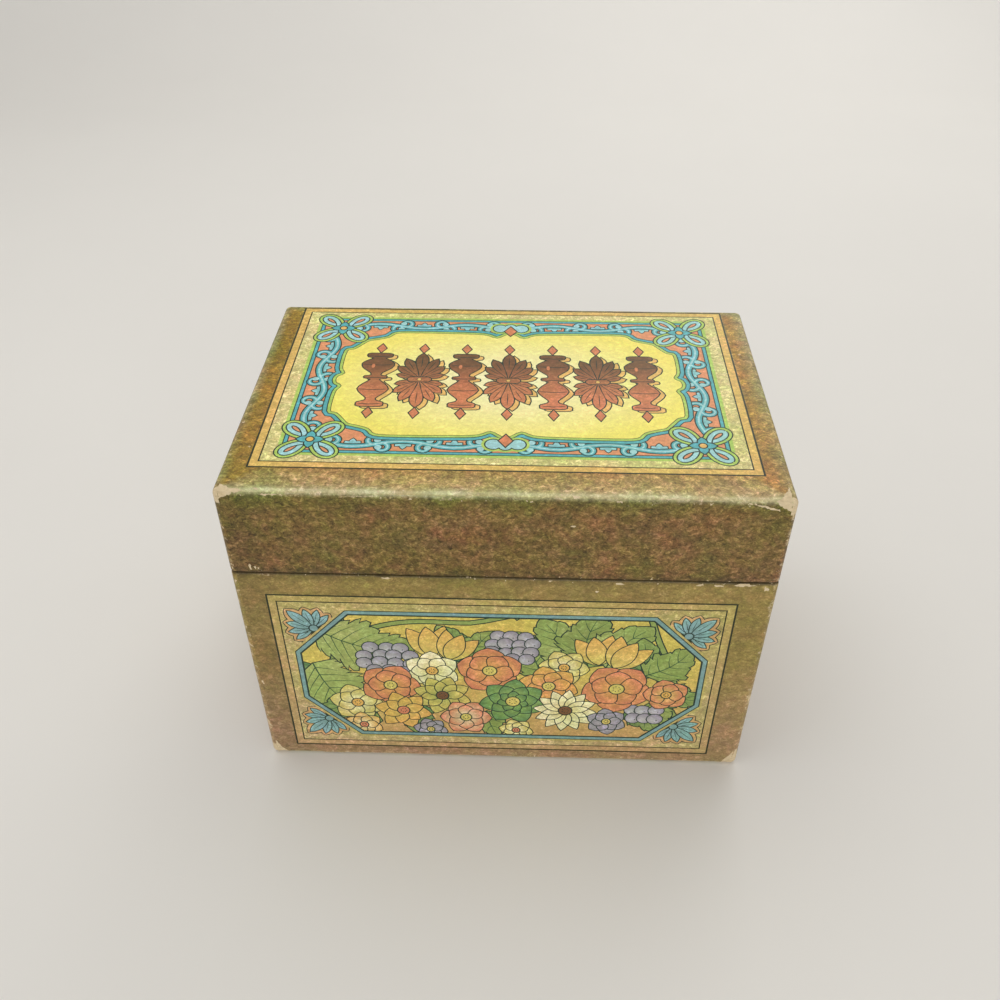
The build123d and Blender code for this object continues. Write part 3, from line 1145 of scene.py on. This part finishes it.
def picture(sheet, inks, fold, frame_middle):
    """Flowers and leaves on a yellow ground. Positions are on the front wall, across and upright."""

    def at(x, z):
        return fold.front(frame_middle[0] + x, frame_middle[1] + z)

    def leaf(x, z, angle, length, width, paint, bend):
        shape, veins = leaf_shape(at(x, z), -angle, length, width, bend)
        tinted = Paint(paint.first, inks["leaf"].first, shape[0], shape[len(shape) // 2], sponge=0.4)
        sheet.inked([(shape, tinted)])
        for vein in veins:
            sheet.fill(vein, inks["vein"])

    def stem(*points):
        path = smooth_loop([at(*p) for p in points], 5)[: 5 * (len(points) - 1) + 1]
        sheet.inked([(ribbon(path, 1.3), inks["leaf"])])

    green, shade, lit = inks["leaf"], inks["deep_leaf"], inks["pale_leaf"]
    stem((-54, -6), (-48, 2), (-44, 12), (-36, 19), (-24, 22.5), (-8, 22.5), (4, 24.6))
    stem((54, -8), (49, -2), (46, 8), (42, 18), (40, 26))
    stem((50, -14), (45, -4), (43, 8), (36, 20))
    for x, z, angle, length, width, paint, bend in (
        (-51, 4, -2.3, 13, 10, shade, 0.2), (-52, 5, -0.95, 27, 20, lit, 0.25),
        (-47, 13, 1.2, 12, 10, green, -0.2), (-50, 19, -0.25, 28, 18, lit, 0.25),
        (11, 3, 2.25, 20, 13, green, 0.3), (18, 6, 1.95, 20, 14, lit, 0.2), (24, 6, 1.45, 21, 15, green, -0.2),
        (29, 6, 0.95, 20, 14, lit, -0.2), (37, 1, 1.5, 17, 11, shade, 0.2), (40, 3, 0.75, 16, 12, green, 0.2),
        (44, -2, -0.4, 14, 10, shade, 0.2), (43, -8, -1.2, 14, 10, green, 0.2),
        (-40, -13, -2.8, 14, 9, shade, 0.2), (-36, -16, -2.2, 12, 9, green, 0.2),
        (-22, -12, -1.8, 13, 9, shade, 0.2), (-4, -14, -1.3, 12, 8, green, 0.1),
        (36, -12, -0.8, 13, 9, shade, -0.2), (-12, 7, 1.9, 15, 10, shade, 0.25),
        (-8, 7, 1.1, 14, 9, green, -0.2),
    ):
        leaf(x, z, angle, length, width, paint, bend)
    for x, z, angle, length in (
        (27, 7, 1.75, 12), (31, 6, 1.05, 12.5), (-18.5, 9, 1.7, 12.5), (-14.5, 8, 1.15, 11.5)
    ):
        tulip(sheet, at(x, z), -angle, length, inks["straw"], inks["marigold"])
    chance = random.Random(3)
    for x, z, across, tall, each in ((-31, 7.5, 17, 12.5, 2.2), (3, 13, 15, 12, 2.1), (41, -14, 11, 7, 2.2)):
        cluster(sheet, at(x, z), across, tall, each, inks["heather"], inks["mist"], chance)
    for x, z, radius, count, outer, inner, heart, rings, width, turn, point in (
        (-41.0, -11.5, 8.0, 6, "straw", "cream", "marigold", 2, 1.2, 0.2, 1.3),
        (-19.0, 3.0, 7.8, 6, "cream", "straw", "marigold", 2, 1.2, 0.5, 1.3),
        (17.5, 5.5, 7.0, 6, "straw", "cream", "marigold", 2, 1.2, 0.1, 1.3),
        (-31.0, -3.5, 8.6, 5, "petal", "marigold", "straw", 2, 1.22, 0.1, 1.4),
        (-3.0, 3.5, 9.2, 5, "petal", "marigold", "straw", 2, 1.22, 0.9, 1.4),
        (13.5, -2.5, 8.4, 6, "marigold", "petal", "straw", 2, 1.2, 0.3, 1.3),
        (32.5, -3.0, 10.0, 5, "petal", "marigold", "straw", 2, 1.22, 0.35, 1.4),
        (46.5, -5.0, 6.4, 5, "petal", "straw", "marigold", 2, 1.2, 0.7, 1.4),
        (-16.5, -7.5, 8.2, 8, "straw", "leaf", "umber", 2, 1.15, 0.3, 1.2),
        (-28.0, -14.5, 8.2, 6, "marigold", "straw", "petal", 2, 1.0, 0.2, 0.95),
        (-10.0, -17.0, 7.4, 6, "petal", "cream", "straw", 2, 1.2, 0.0, 1.4),
        (3.5, -9.5, 9.6, 7, "deep_leaf", "lime", "straw", 3, 1.2, 0.3, 1.25),
        (18.5, -13.0, 9.0, 12, "cream", "straw", "umber", 2, 1.2, 0.1, 1.1),
        (30.5, -17.5, 5.8, 6, "heather", "mist", "straw", 2, 1.2, 0.4, 1.3),
        (-40.0, -21.5, 5.6, 6, "marigold", "cream", "petal", 2, 1.2, 0.4, 1.2),
        (4.5, -22.5, 5.0, 6, "straw", "cream", "petal", 2, 1.2, 0.2, 1.2),
        (-20.5, -23.0, 5.0, 6, "heather", "mist", "straw", 2, 1.2, 0.2, 1.2),
    ):
        bloom(sheet, at(x, z), radius, count, inks[outer], inks[inner], inks[heart], rings, width, turn, point)


def front_art(sheet, inks, fold, sizes):
    """The front of the base: a frame, a picture in a cut-cornered frame, and a fan in each corner."""
    middle = (-0.7, sizes.front_frame_middle / MM)
    width, height = sizes.front_frame_width / MM, sizes.front_frame_height / MM
    on_net = fold.front(*middle)

    def fade(top, foot, start, end, sponge):
        """A blend down the wall, between two shares of the frame's height from its middle."""
        ends = (on_net + Vector((0, height * share)) for share in (start, end))
        return Paint(inks[top].first, inks[foot].first, *ends, sponge=sponge)

    band = fade("front_band", "front_band_foot", -0.5, 0.5, 0.45)
    # The field lightens towards its foot: painted light bounced up from the floor, with the print's own pinker
    # tone.
    field = fade("front_field", "front_field_foot", -0.5, 0.5, 0.62)
    inner_frame(sheet, inks, sizes, band, field, width, height, on_net)
    cut_x, cut_y = 14.2, 15.4
    half_x, half_y = width / 2 - 6.8, height / 2 - 7.3
    opening = rectangle(2 * half_x, 2 * half_y, on_net, cut=(cut_x, cut_y))
    low, high = Vector((half_x, half_y - cut_y)), Vector((half_x - cut_x, half_y))
    out = Vector((cut_y, cut_x)).normalized()
    for side in CORNERS:

        def beside(share, away, side=side):
            """A point outside a cut corner: its share along the cut, and its distance from it."""
            spot = low.lerp(high, share) + out * away
            return on_net + Vector((side[0] * spot.x, side[1] * spot.y))

        wedge = [beside(*p) for p in ((0.06, 1.6), (0.94, 1.6), (0.8, 2.9), (0.5, 4.0), (0.2, 2.9))]
        sheet.fill(wedge, inks["rule"])
        corner_fan(sheet, inks, beside(0.5, 3.6), side)
    key, ground = sheet.keyline, fade("picture_top", "picture_foot", -0.1, 0.38, 0.4)
    rings = ((2.5, inks["front_halo"]), (1.85, key), (1.55, inks["slate"]), (0.5, key), (0, ground))
    sheet.nested(opening, *rings)
    first = len(sheet.shapes)
    picture(sheet, inks, fold, middle)
    clip_shapes(sheet, first, opening)


def clip_shapes(sheet, first, window):
    """Keeps each shape from the first on inside a convex window."""
    sense = 1 if area(window) > 0 else -1
    kept = sheet.shapes[:first]
    for outline, paint in sheet.shapes[first:]:
        points = outline
        for a, b in zip(window, window[1:] + window[:1]):
            way = (b - a) * sense
            inside = [way.cross(p - a) >= 0 for p in points]
            if all(inside):
                continue
            clipped = []
            for i, here in enumerate(points):
                after = points[(i + 1) % len(points)]
                if inside[i]:
                    clipped.append(here)
                if inside[i] != inside[(i + 1) % len(points)]:
                    low, high = way.cross(here - a), way.cross(after - a)
                    clipped.append(here.lerp(after, low / (low - high)))
            points = clipped
            if len(points) < 3:
                break
        if len(points) >= 3:
            kept.append((points, paint))
    sheet.shapes = kept


# ---------------------------------------------------------------- finishes


def printed_paper(settings):
    """Sponge-printed paper with a satin varnish, rubbed along its folds and torn to fibre at its corners."""
    finish = Finish(PRINT_FINISH, specular_ior_level=0.34)
    fibre = tuple(settings.papers.fibre)
    ink, sponge = finish.attribute("ink", "Color"), finish.attribute("ink", "Alpha")
    torn, crease = finish.attribute("torn", "Fac"), finish.attribute("crease", "Fac")
    drawn = {"stretch": (1.35, 1.15, 1.0), "shift": (31, 7, 3)}

    patches = finish.noise(12, 4, 0.6)
    drift = finish.noise(26, 2, 0.5, shift=(80, 40, 9))
    dabs = finish.noise(1.15, 6, 0.74, 0.7, **drawn)
    grain = finish.noise(0.4, 3, 0.65, **drawn)
    jitter = finish.noise(3.2, 5, 0.62, 1.0, shift=(12, 70, 4))
    shadows = finish.noise(5.0, 5, 0.68, 0.6, stretch=(1.3, 1.2, 1), shift=(64, 5, 27))
    veins = finish.noise(2.6, 5, 0.6, 0.8, shift=(3, 30, 44)) - 0.5
    vein_line = finish.rise(veins * veins, 0.0009, 0.0)
    sponged = (1, 1, 1)
    for factor, *stops in (
        (patches, (0.34, (1.13, 0.92, 1.0)), (0.46, (1.03, 0.98, 1.03)), (0.56, (0.98, 1.02, 0.90)),
         (0.66, (0.86, 0.98, 0.82))),
        (dabs, (0.28, (0.20, 0.18, 0.12)), (0.42, (0.64, 0.62, 0.52)), (0.54, (1.10, 1.11, 1.08)),
         (0.66, (2.02, 2.10, 2.6))),
        (drift, (0.35, (0.92, 0.95, 0.84)), (0.65, (1.06, 1.04, 1.14))),
        (jitter, (0.36, (0.90, 1.0, 0.82)), (0.64, (1.10, 0.99, 1.16))),
        (shadows, (0.34, (0.74, 0.78, 0.80)), (0.48, (1.0, 1.0, 1.0)), (0.66, (1.14, 1.13, 1.10))),
        (grain, (0.32, (0.72, 0.72, 0.70)), (0.68, (1.28, 1.28, 1.30))),
        (vein_line, (0.0, (1, 1, 1)), (1.0, (0.66, 0.66, 0.62))),
    ):
        sponged = finish.times(sponged, factor, *stops)
    specks = finish.speckle(2.6, 0.26, 0.4, stretch=(1, 1.3, 1.3))
    sponged = finish.mix(specks * 0.8, sponged, (0.34, 0.33, 0.33))
    printed = finish.mix(1.0, ink, finish.mix(sponge, (1, 1, 1), sponged), "MULTIPLY")

    fray = finish.noise(2.6, 4, 0.7, shift=(5, 60, 20)) - 0.5
    chips = finish.noise(1.1, 2, 0.5, shift=(9, 9, 50)) - 0.5
    rub = finish.rise(crease + fray * 0.62, 1.06, 1.15) * (1 - torn)
    nick = finish.rise(crease + chips * 1.5, 1.27, 1.33)
    bare = torn.larger(rub.larger(nick)).clamped()
    pulp = finish.noise(0.5, 4, 0.7, stretch=(2.2, 1, 1))
    stain = finish.mix(finish.noise(3.0, 3, 0.6), linear(214, 190, 148), fibre)
    stain = finish.times(stain, pulp, (0.3, (0.78, 0.76, 0.72)), (0.7, (1.1, 1.1, 1.1)))
    return finish.feed(
        base_color=finish.mix(bare, printed, stain),
        roughness=0.36 + grain * 0.16 + bare * 0.4,
        normal=finish.bump(grain * 0.35 + dabs * 0.5 + bare * (pulp - 1.0), 0.035),
    )


def plain_paper(name, shade, flecks, fibres):
    """Unprinted paper or board: fibres, faint clouds, small dark flecks and handling marks."""
    finish = Finish(name, IOR=1.4)
    pulp = finish.noise(0.5 * fibres, 4, 0.68, stretch=(3, 1, 1))
    cross = finish.noise(0.7 * fibres, 3, 0.6, stretch=(1, 2.4, 2.4), shift=(20, 4, 8))
    weave = pulp * 0.6 + cross * 0.4
    pale = tuple(min(1, 1.07 * c) for c in shade)
    tone = finish.mix(finish.noise(18, 3, 0.6), tuple(0.84 * c for c in shade), pale)
    tone = finish.times(tone, weave, (0.36, (0.84, 0.83, 0.81)), (0.5, (1, 1, 1)), (0.64, (1.08, 1.07, 1.05)))
    dark = finish.speckle(4.2, 0.3, flecks, shift=(3, 11, 6))
    tone = finish.mix(dark * 0.75, tone, tuple(0.35 * c for c in shade))
    foxing = finish.rise(finish.noise(9, 4, 0.7, shift=(50, 2, 31)), 0.56, 0.74)
    tone = finish.mix(foxing * 0.35, tone, tuple(s * c for s, c in zip((0.52, 0.42, 0.32), shade)))
    return finish.feed(
        base_color=tone,
        roughness=0.72 + cross * 0.2,
        normal=finish.bump(pulp * 0.7 + cross * 0.5 - dark * 0.3, 0.05 * fibres),
    )


def dress(nodes, material):
    """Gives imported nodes, which keep their shape, a finished material."""
    for node in nodes:
        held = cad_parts[node].data.materials
        if not held:
            held.append(material)
        for i in range(len(held)):
            held[i] = material


# ---------------------------------------------------------------- operators


def ink_paints(settings):
    """Every ink as a paint. The grounds are fully sponged, flat colours only lightly."""
    shares = {"lid_field": 0.62, "rule": 0.35, "keyline": 0.2, "lid_band": 0.4}
    paints = {
        name: Paint(getattr(settings.inks, name), sponge=shares.get(name, 0.28))
        for name in PrintColours.__annotations__
    }
    for name, shade, share in (
        ("vein", (58, 92, 58), 0.2),
        ("petal_halo", (214, 172, 118), 0.4),
        ("front_halo", (200, 184, 112), 0.4),
        ("pale_leaf", (176, 192, 112), 0.4),
        ("mist", (200, 202, 200), 0.3),
    ):
        paints[name] = Paint(linear(*shade), sponge=share)
    paints["torn"] = Paint(settings.papers.fibre, sponge=0.2, torn=1.0)
    paints["hole"] = Paint((0, 0, 0), hole=True)
    return paints


class WrapPrinter:
    """Draws, tears and folds the wrap of one tray."""

    def __init__(self, settings, tray, step, ragged_by, pitch):
        self.settings, self.sizes, self.inks = settings, settings.sizes, ink_paints(settings)
        self.chance, self.ragged_by, self.pitch = random.Random(settings.seed + step), ragged_by, pitch
        self.sheet = Sheet(self.inks["keyline"], self.sizes.fine_weight / MM)
        low, high = (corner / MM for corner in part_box(f"{tray}_wrap"))
        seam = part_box("lid_wrap")[0].z / MM
        inset = getattr(self.sizes, f"{tray}_turn_in")
        folds = (self.sizes.crease_radius, self.sizes.rim_radius, inset, self.sizes.turn_in)
        closed = high.z if tray == "lid" else low.z
        self.fold = Fold(high.x, high.y, closed, seam, *(length / MM for length in folds))

    def tear(self, edge, tears, wall_flecks, flat_flecks=()):
        """Tears the print. A tear is a side, and its outline from that side's corner on an edge of the sheet."""
        places = [[(side * self.fold.a + x, edge + y) for x, y in outline] for side, outline in tears]
        flecks = [(self.fold.front(x, z), width, height) for x, z, width, height in wall_flecks]
        places += [fleck(*spec, self.chance) for spec in (*flecks, *flat_flecks)]
        for place in places:
            self.sheet.fill(ragged(place, self.ragged_by, self.pitch, self.chance), self.inks["torn"])

    def folded(self, name, ground, corner_depths, seed):
        """The folded piece, torn at its corners to those depths."""
        piece = wrap_mesh(name, self.fold, self.sheet, ground, Tears(corner_depths, self.chance), seed)
        piece.data.materials.append(bpy.data.materials.get(PRINT_FINISH) or printed_paper(self.settings))
        return piece


class CARDBOX_OT_lid_print(bpy.types.Operator):
    """Fold the printed wrap round the lid"""

    bl_idname = "cardbox.lid_print"
    bl_label = "Lid print"

    def execute(self, context):
        printer = WrapPrinter(context.scene.card_box, "lid", 0, ragged_by=0.2, pitch=0.45)
        fold, sheet, inks = printer.fold, printer.sheet, printer.inks
        wall = Ground(fold, inks, "lid_wall", "lid_wall")
        front = Vector((0.3 * fold.a, -fold.b))
        top = Ground(fold, inks, "lid_ground", "lid_ground_far", -front, front, sponge=0.88)
        sheet.fill(fold.outline(), wall)
        margin = 1.1 * fold.arc
        sheet.fill(rectangle(2 * fold.a + margin, 2 * fold.b), top)
        sheet.fill(rectangle(2 * fold.a, 2 * fold.b + margin), top)
        lid_art(sheet, inks, printer.sizes)
        tears = (
            (-1, (
                (0, 2.2), (1.2, 1.7), (2.6, 0.9), (4.2, 0.9), (6.2, 0.3), (3.6, -0.3), (1.8, -1.2), (0, -2.0)
            )),
            (-1, ((9.0, -0.4), (11.5, -0.5), (15.5, -0.5), (11.4, -0.8))),
            (-1, ((8.2, 0.9), (10.5, 0.7), (9.4, 0.4))),
            (1, ((0, 5.2), (-0.8, 3.4), (-2.4, 0.9), (-3.9, -0.1), (-2.2, -1.6), (0, -2.6))),
            (1, ((-10.4, -0.6), (-6.4, -0.9), (-2.8, -2.2), (-2.6, -2.8), (-7.0, -1.4))),
            (-1, ((84.5, 0.6), (86.6, 0.5), (86.2, -0.3), (84.9, -0.2))),
            (-1, ((29, -1.0), (38, -0.4), (32, -0.7))),
            (1, ((-32, 0.1), (-25, 0.3), (-28, -0.1))),
        )
        flecks = (
            (-64.2, 24.6, 0.5, 1.5), (-62.9, 24.9, 0.35, 1.1), (-62.2, 25.2, 0.3, 0.8), (17.0, 9.0, 0.9, 0.25)
        )
        flecks = [(x, fold.closed - down, width, height) for x, down, width, height in flecks]
        flat_flecks = (((-64.5, -28.0), 0.4, 0.5), ((65.6, 20.0), 0.5, 0.4))
        printer.tear(-fold.b - fold.arc / 2, tears, flecks, flat_flecks)
        piece = printer.folded("lid_print", wall, (1.8, 4.2, 1.4, 2.2), 3.0)
        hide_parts("lid_wrap")
        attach(piece, "lid")
        return {"FINISHED"}


class CARDBOX_OT_base_print(bpy.types.Operator):
    """Fold the printed wrap round the base"""

    bl_idname = "cardbox.base_print"
    bl_label = "Base print"

    def execute(self, context):
        printer = WrapPrinter(context.scene.card_box, "base", 1, ragged_by=0.16, pitch=0.5)
        fold, sheet, inks = printer.fold, printer.sheet, printer.inks
        # Lighter at the foot: painted light bounced up from the floor; the pinker tone there is the print's own.
        wall = Ground(fold, inks, "base_foot", "base_wall", sponge=0.56, greening=0.3)
        sheet.fill(fold.outline(), wall)
        front_art(sheet, inks, fold, printer.sizes)
        tears = (
            (-1, ((0, 1.6), (2.6, 1.0), (3.4, -0.6), (1.6, -2.6), (0, -6.2))),
            (1, ((0, 1.6), (-3.6, 1.0), (-2.8, -1.2), (-1.2, -3.8), (0, -6.6))),
        )
        flecks = (
            (-51.5, 0.9, 3.4, 0.5), (-47.0, 1.6, 0.8, 0.4), (6.0, 0.9, 2.6, 0.6), (9.5, 1.8, 0.5, 0.7),
            (-68.0, 33.0, 0.4, 1.2), (29.5, 74.6, 2.0, 0.5), (50.0, 74.7, 1.3, 0.4), (54.5, 74.5, 2.2, 0.5),
            (61.0, 74.8, 3.2, 0.5), (66.6, 73.8, 0.7, 0.9), (-30.0, 74.8, 1.6, 0.35), (24.0, 71.6, 0.5, 0.5),
        )
        printer.tear(-fold.b - fold.arc / 2, tears, flecks)
        window = 2 * (printer.sizes.window / MM)
        sheet.fill(rectangle(2 * fold.half_width - window, 2 * fold.half_depth - window), inks["hole"])
        piece = printer.folded("base_print", wall, (3.4, 5.5, 3.0, 5.0), 11.0)
        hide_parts("base_wrap")
        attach(piece, "base")
        return {"FINISHED"}


class CARDBOX_OT_hinge_strip(bpy.types.Operator):
    """Paste the hinge strip over the crease at the back"""

    bl_idname = "cardbox.hinge_strip"
    bl_label = "Hinge strip"

    def execute(self, context):
        low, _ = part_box("hinge_strip_base_leaf")
        leaf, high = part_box("hinge_strip_lid_leaf")
        crease = leaf.z
        below = [-1, -0.98, -0.9, -0.7, -0.5, -0.3, -0.16, -0.08, -0.04, -0.02]
        levels = [*below, 0, *(-s for s in reversed(below))]  # rows of the strip, as shares of a leaf
        columns, last = 60, len(levels) - 1
        narrowing, pressed, groove_depth, groove_width, edge_width = 0.004, 0.12 * MM, 0.08 * MM, 0.03, 0.05
        edge_wear, crease_wear, face_wear, side_wear = 1.0, 0.94, 0.4, 1.2
        skin, shade = Skin(), (*context.scene.card_box.inks.lid_wall, 1.0)

        def row(level, y):
            """One row of points. The outer face is pressed down at its edges and grooved on the crease."""
            if y == high.y:
                y -= pressed * (1 - min(1, (1 - abs(level)) / edge_width))
                y -= groove_depth * math.exp(-((level / groove_width) ** 2))
            made = []
            for i in range(columns + 1):
                end = 1 - narrowing * abs(level) if i in (0, columns) else 1
                x = (low.x + (high.x - low.x) * i / columns) * end
                made.append(skin.vert((x, y, crease + level * (crease - low.z))))
            return made

        def tile(corners, wear):
            skin.face([(vert, shade, 0.0, wear) for vert in corners])

        outer, inner = ([row(level, y) for level in levels] for y in (high.y, low.y))
        for face in (outer, inner):
            for j in range(last):
                edge = max(abs(levels[j]), abs(levels[j + 1]))
                wear = edge_wear if edge > 0.99 else crease_wear if edge < 0.05 else face_wear
                for i in range(columns):
                    corners = (face[j][i], face[j][i + 1], face[j + 1][i + 1], face[j + 1][i])
                    tile(corners[::-1] if face is outer else corners, wear)
        rim = [(0, i) for i in range(columns)] + [(j, columns) for j in range(last)]
        rim += [(last, i) for i in range(columns, 0, -1)] + [(j, 0) for j in range(last, 0, -1)]
        for (j, i), (k, l) in zip(rim, rim[1:] + rim[:1]):
            tile((outer[j][i], outer[k][l], inner[k][l], inner[j][i]), side_wear)
        bmesh.ops.recalc_face_normals(skin.mesh, faces=skin.mesh.faces)
        piece = add_object("hinge_strip", skin.mesh)
        piece.data.materials.append(bpy.data.materials[PRINT_FINISH])
        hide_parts("hinge_strip_base_leaf", "hinge_strip_lid_leaf")
        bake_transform(piece)
        return {"FINISHED"}


class CARDBOX_OT_plain_papers(bpy.types.Operator):
    """Finish the neck, linings, foot paper, boards and corner stays"""

    bl_idname = "cardbox.plain_papers"
    bl_label = "Plain papers and boards"

    def execute(self, context):
        papers = context.scene.card_box.papers
        corners = ("front_left", "front_right", "back_left", "back_right")
        stays = [f"{tray}_stay_{corner}" for tray in ("base", "lid") for corner in corners]
        for name, nodes, flecks, fibres in (
            ("lining", ["base_lining", "lid_lining"], 0.25, 1.0),
            ("foot", ["base_foot_paper"], 0.35, 1.1),
            ("board", ["base_board", "lid_board"], 0.8, 1.6),
            ("neck", ["neck"], 0.45, 1.3),
            ("stay", stays, 0.3, 1.2),
        ):
            dress(nodes, plain_paper(f"plain_{name}", tuple(getattr(papers, name)), flecks, fibres))
        return {"FINISHED"}


class CARDBOX_OT_stage(bpy.types.Operator):
    """Set the floor, the lights and the camera"""

    bl_idname = "cardbox.stage"
    bl_label = "Stage"

    def execute(self, context):
        scene, stage = context.scene, context.scene.card_box.stage
        self.add_floor(tuple(stage.floor))
        world = bpy.data.worlds.new("surround")
        scene.world = world
        world.use_nodes = True
        back = world.node_tree.nodes["Background"]
        back.inputs["Color"].default_value = (1, 0.985, 0.96, 1)
        back.inputs["Strength"].default_value = stage.surround
        for name, watts, spot, spread, aim in (
            ("overhead_light", stage.overhead, (-0.12, 0.18, 0.85), 1.1, (0, 0, 0.05)),
            ("window_light", stage.window_light, (0.15, -1.3, 0.42), 1.1, (0, 0, 0.03)),
            ("rear_light", stage.rear_light, (0.35, 0.75, 0.5), 0.5, (0, 0, 0.08)),
        ):
            lamp = bpy.data.lights.new(name, "AREA")
            lamp.shape, lamp.size, lamp.size_y, lamp.energy = "RECTANGLE", spread, 0.6 * spread, watts
            lamp.color = (1.0, 0.985, 0.955)
            light = add_object(name, lamp)
            light.location = spot
            light.rotation_euler = (Vector(aim) - Vector(spot)).to_track_quat("-Z", "Y").to_euler()

        lens = bpy.data.cameras.new("camera")
        lens.sensor_width, lens.lens, lens.shift_y = 36.0, stage.lens, -0.001
        lens.clip_start, lens.clip_end = 0.01, 20
        camera = add_object("camera", lens)
        right = Vector((0.99948344, 0.03207537, -0.00200623))
        below = Vector((0.01885054, -0.63566183, -0.77173745))
        ahead = Vector((-0.02602905, 0.77130098, -0.63593811))
        turn = Matrix((right, -below, -ahead)).transposed().to_4x4()
        camera.matrix_world = Matrix.Translation((0.005378, -0.226165, 0.250398)) @ turn
        scene.camera = camera
        scene.view_settings.view_transform = "Standard"
        return {"FINISHED"}

    def add_floor(self, shade):
        """A plain floor that bends up into a backdrop behind the box."""
        near, back, bend, rise, half_width, steps = -2.6, 0.55, 0.35, 1.6, 3, 12
        turns = [math.pi / 2 * i / steps for i in range(1, steps + 1)]
        profile = [(near, 0.0), (back, 0.0)]
        profile += [(back + bend * math.sin(turn), bend - bend * math.cos(turn)) for turn in turns]
        profile.append((back + bend, rise))
        mesh = bmesh.new()
        rows = [[mesh.verts.new((x, y, z)) for x in (-half_width, half_width)] for y, z in profile]
        for low, high in zip(rows, rows[1:]):
            mesh.faces.new((low[0], low[1], high[1], high[0])).smooth = True
        floor = add_object("floor", mesh)
        finish = Finish("floor_paper", roughness=0.9)
        tone = finish.mix(finish.noise(90, 3, 0.5), tuple(0.97 * c for c in shade), shade)
        floor.data.materials.append(finish.feed(base_color=tone))


class CARDBOX_PT_panel(bpy.types.Panel):
    """Lists the card box's operators and settings"""

    bl_label = "Card box"
    bl_idname = "CARDBOX_PT_panel"
    bl_space_type = "VIEW_3D"
    bl_region_type = "UI"
    bl_category = "Card box"

    def draw(self, context):
        settings = context.scene.card_box
        for operator in OPERATORS:
            self.layout.operator(operator.bl_idname)
        for group in (settings.inks, settings.papers, settings.sizes, settings.stage):
            box = self.layout.box()
            for name in type(group).__annotations__:
                box.prop(group, name)


OPERATORS = (
    CARDBOX_OT_lid_print,
    CARDBOX_OT_base_print,
    CARDBOX_OT_hinge_strip,
    CARDBOX_OT_plain_papers,
    CARDBOX_OT_stage,
)
CLASSES = (PrintColours, PaperColours, PrintSizes, StageSettings, CardBoxSettings, *OPERATORS, CARDBOX_PT_panel)


def register():
    for kind in CLASSES:
        bpy.utils.register_class(kind)
    bpy.types.Scene.card_box = PointerProperty(
        name="Card box", description="Settings of the card box", type=CardBoxSettings
    )


def unregister():
    del bpy.types.Scene.card_box
    for kind in reversed(CLASSES):
        bpy.utils.unregister_class(kind)


def main():
    register()
    for operator in OPERATORS:
        group, name = operator.bl_idname.split(".")
        getattr(getattr(bpy.ops, group), name)()


if __name__ == "__main__":
    main()
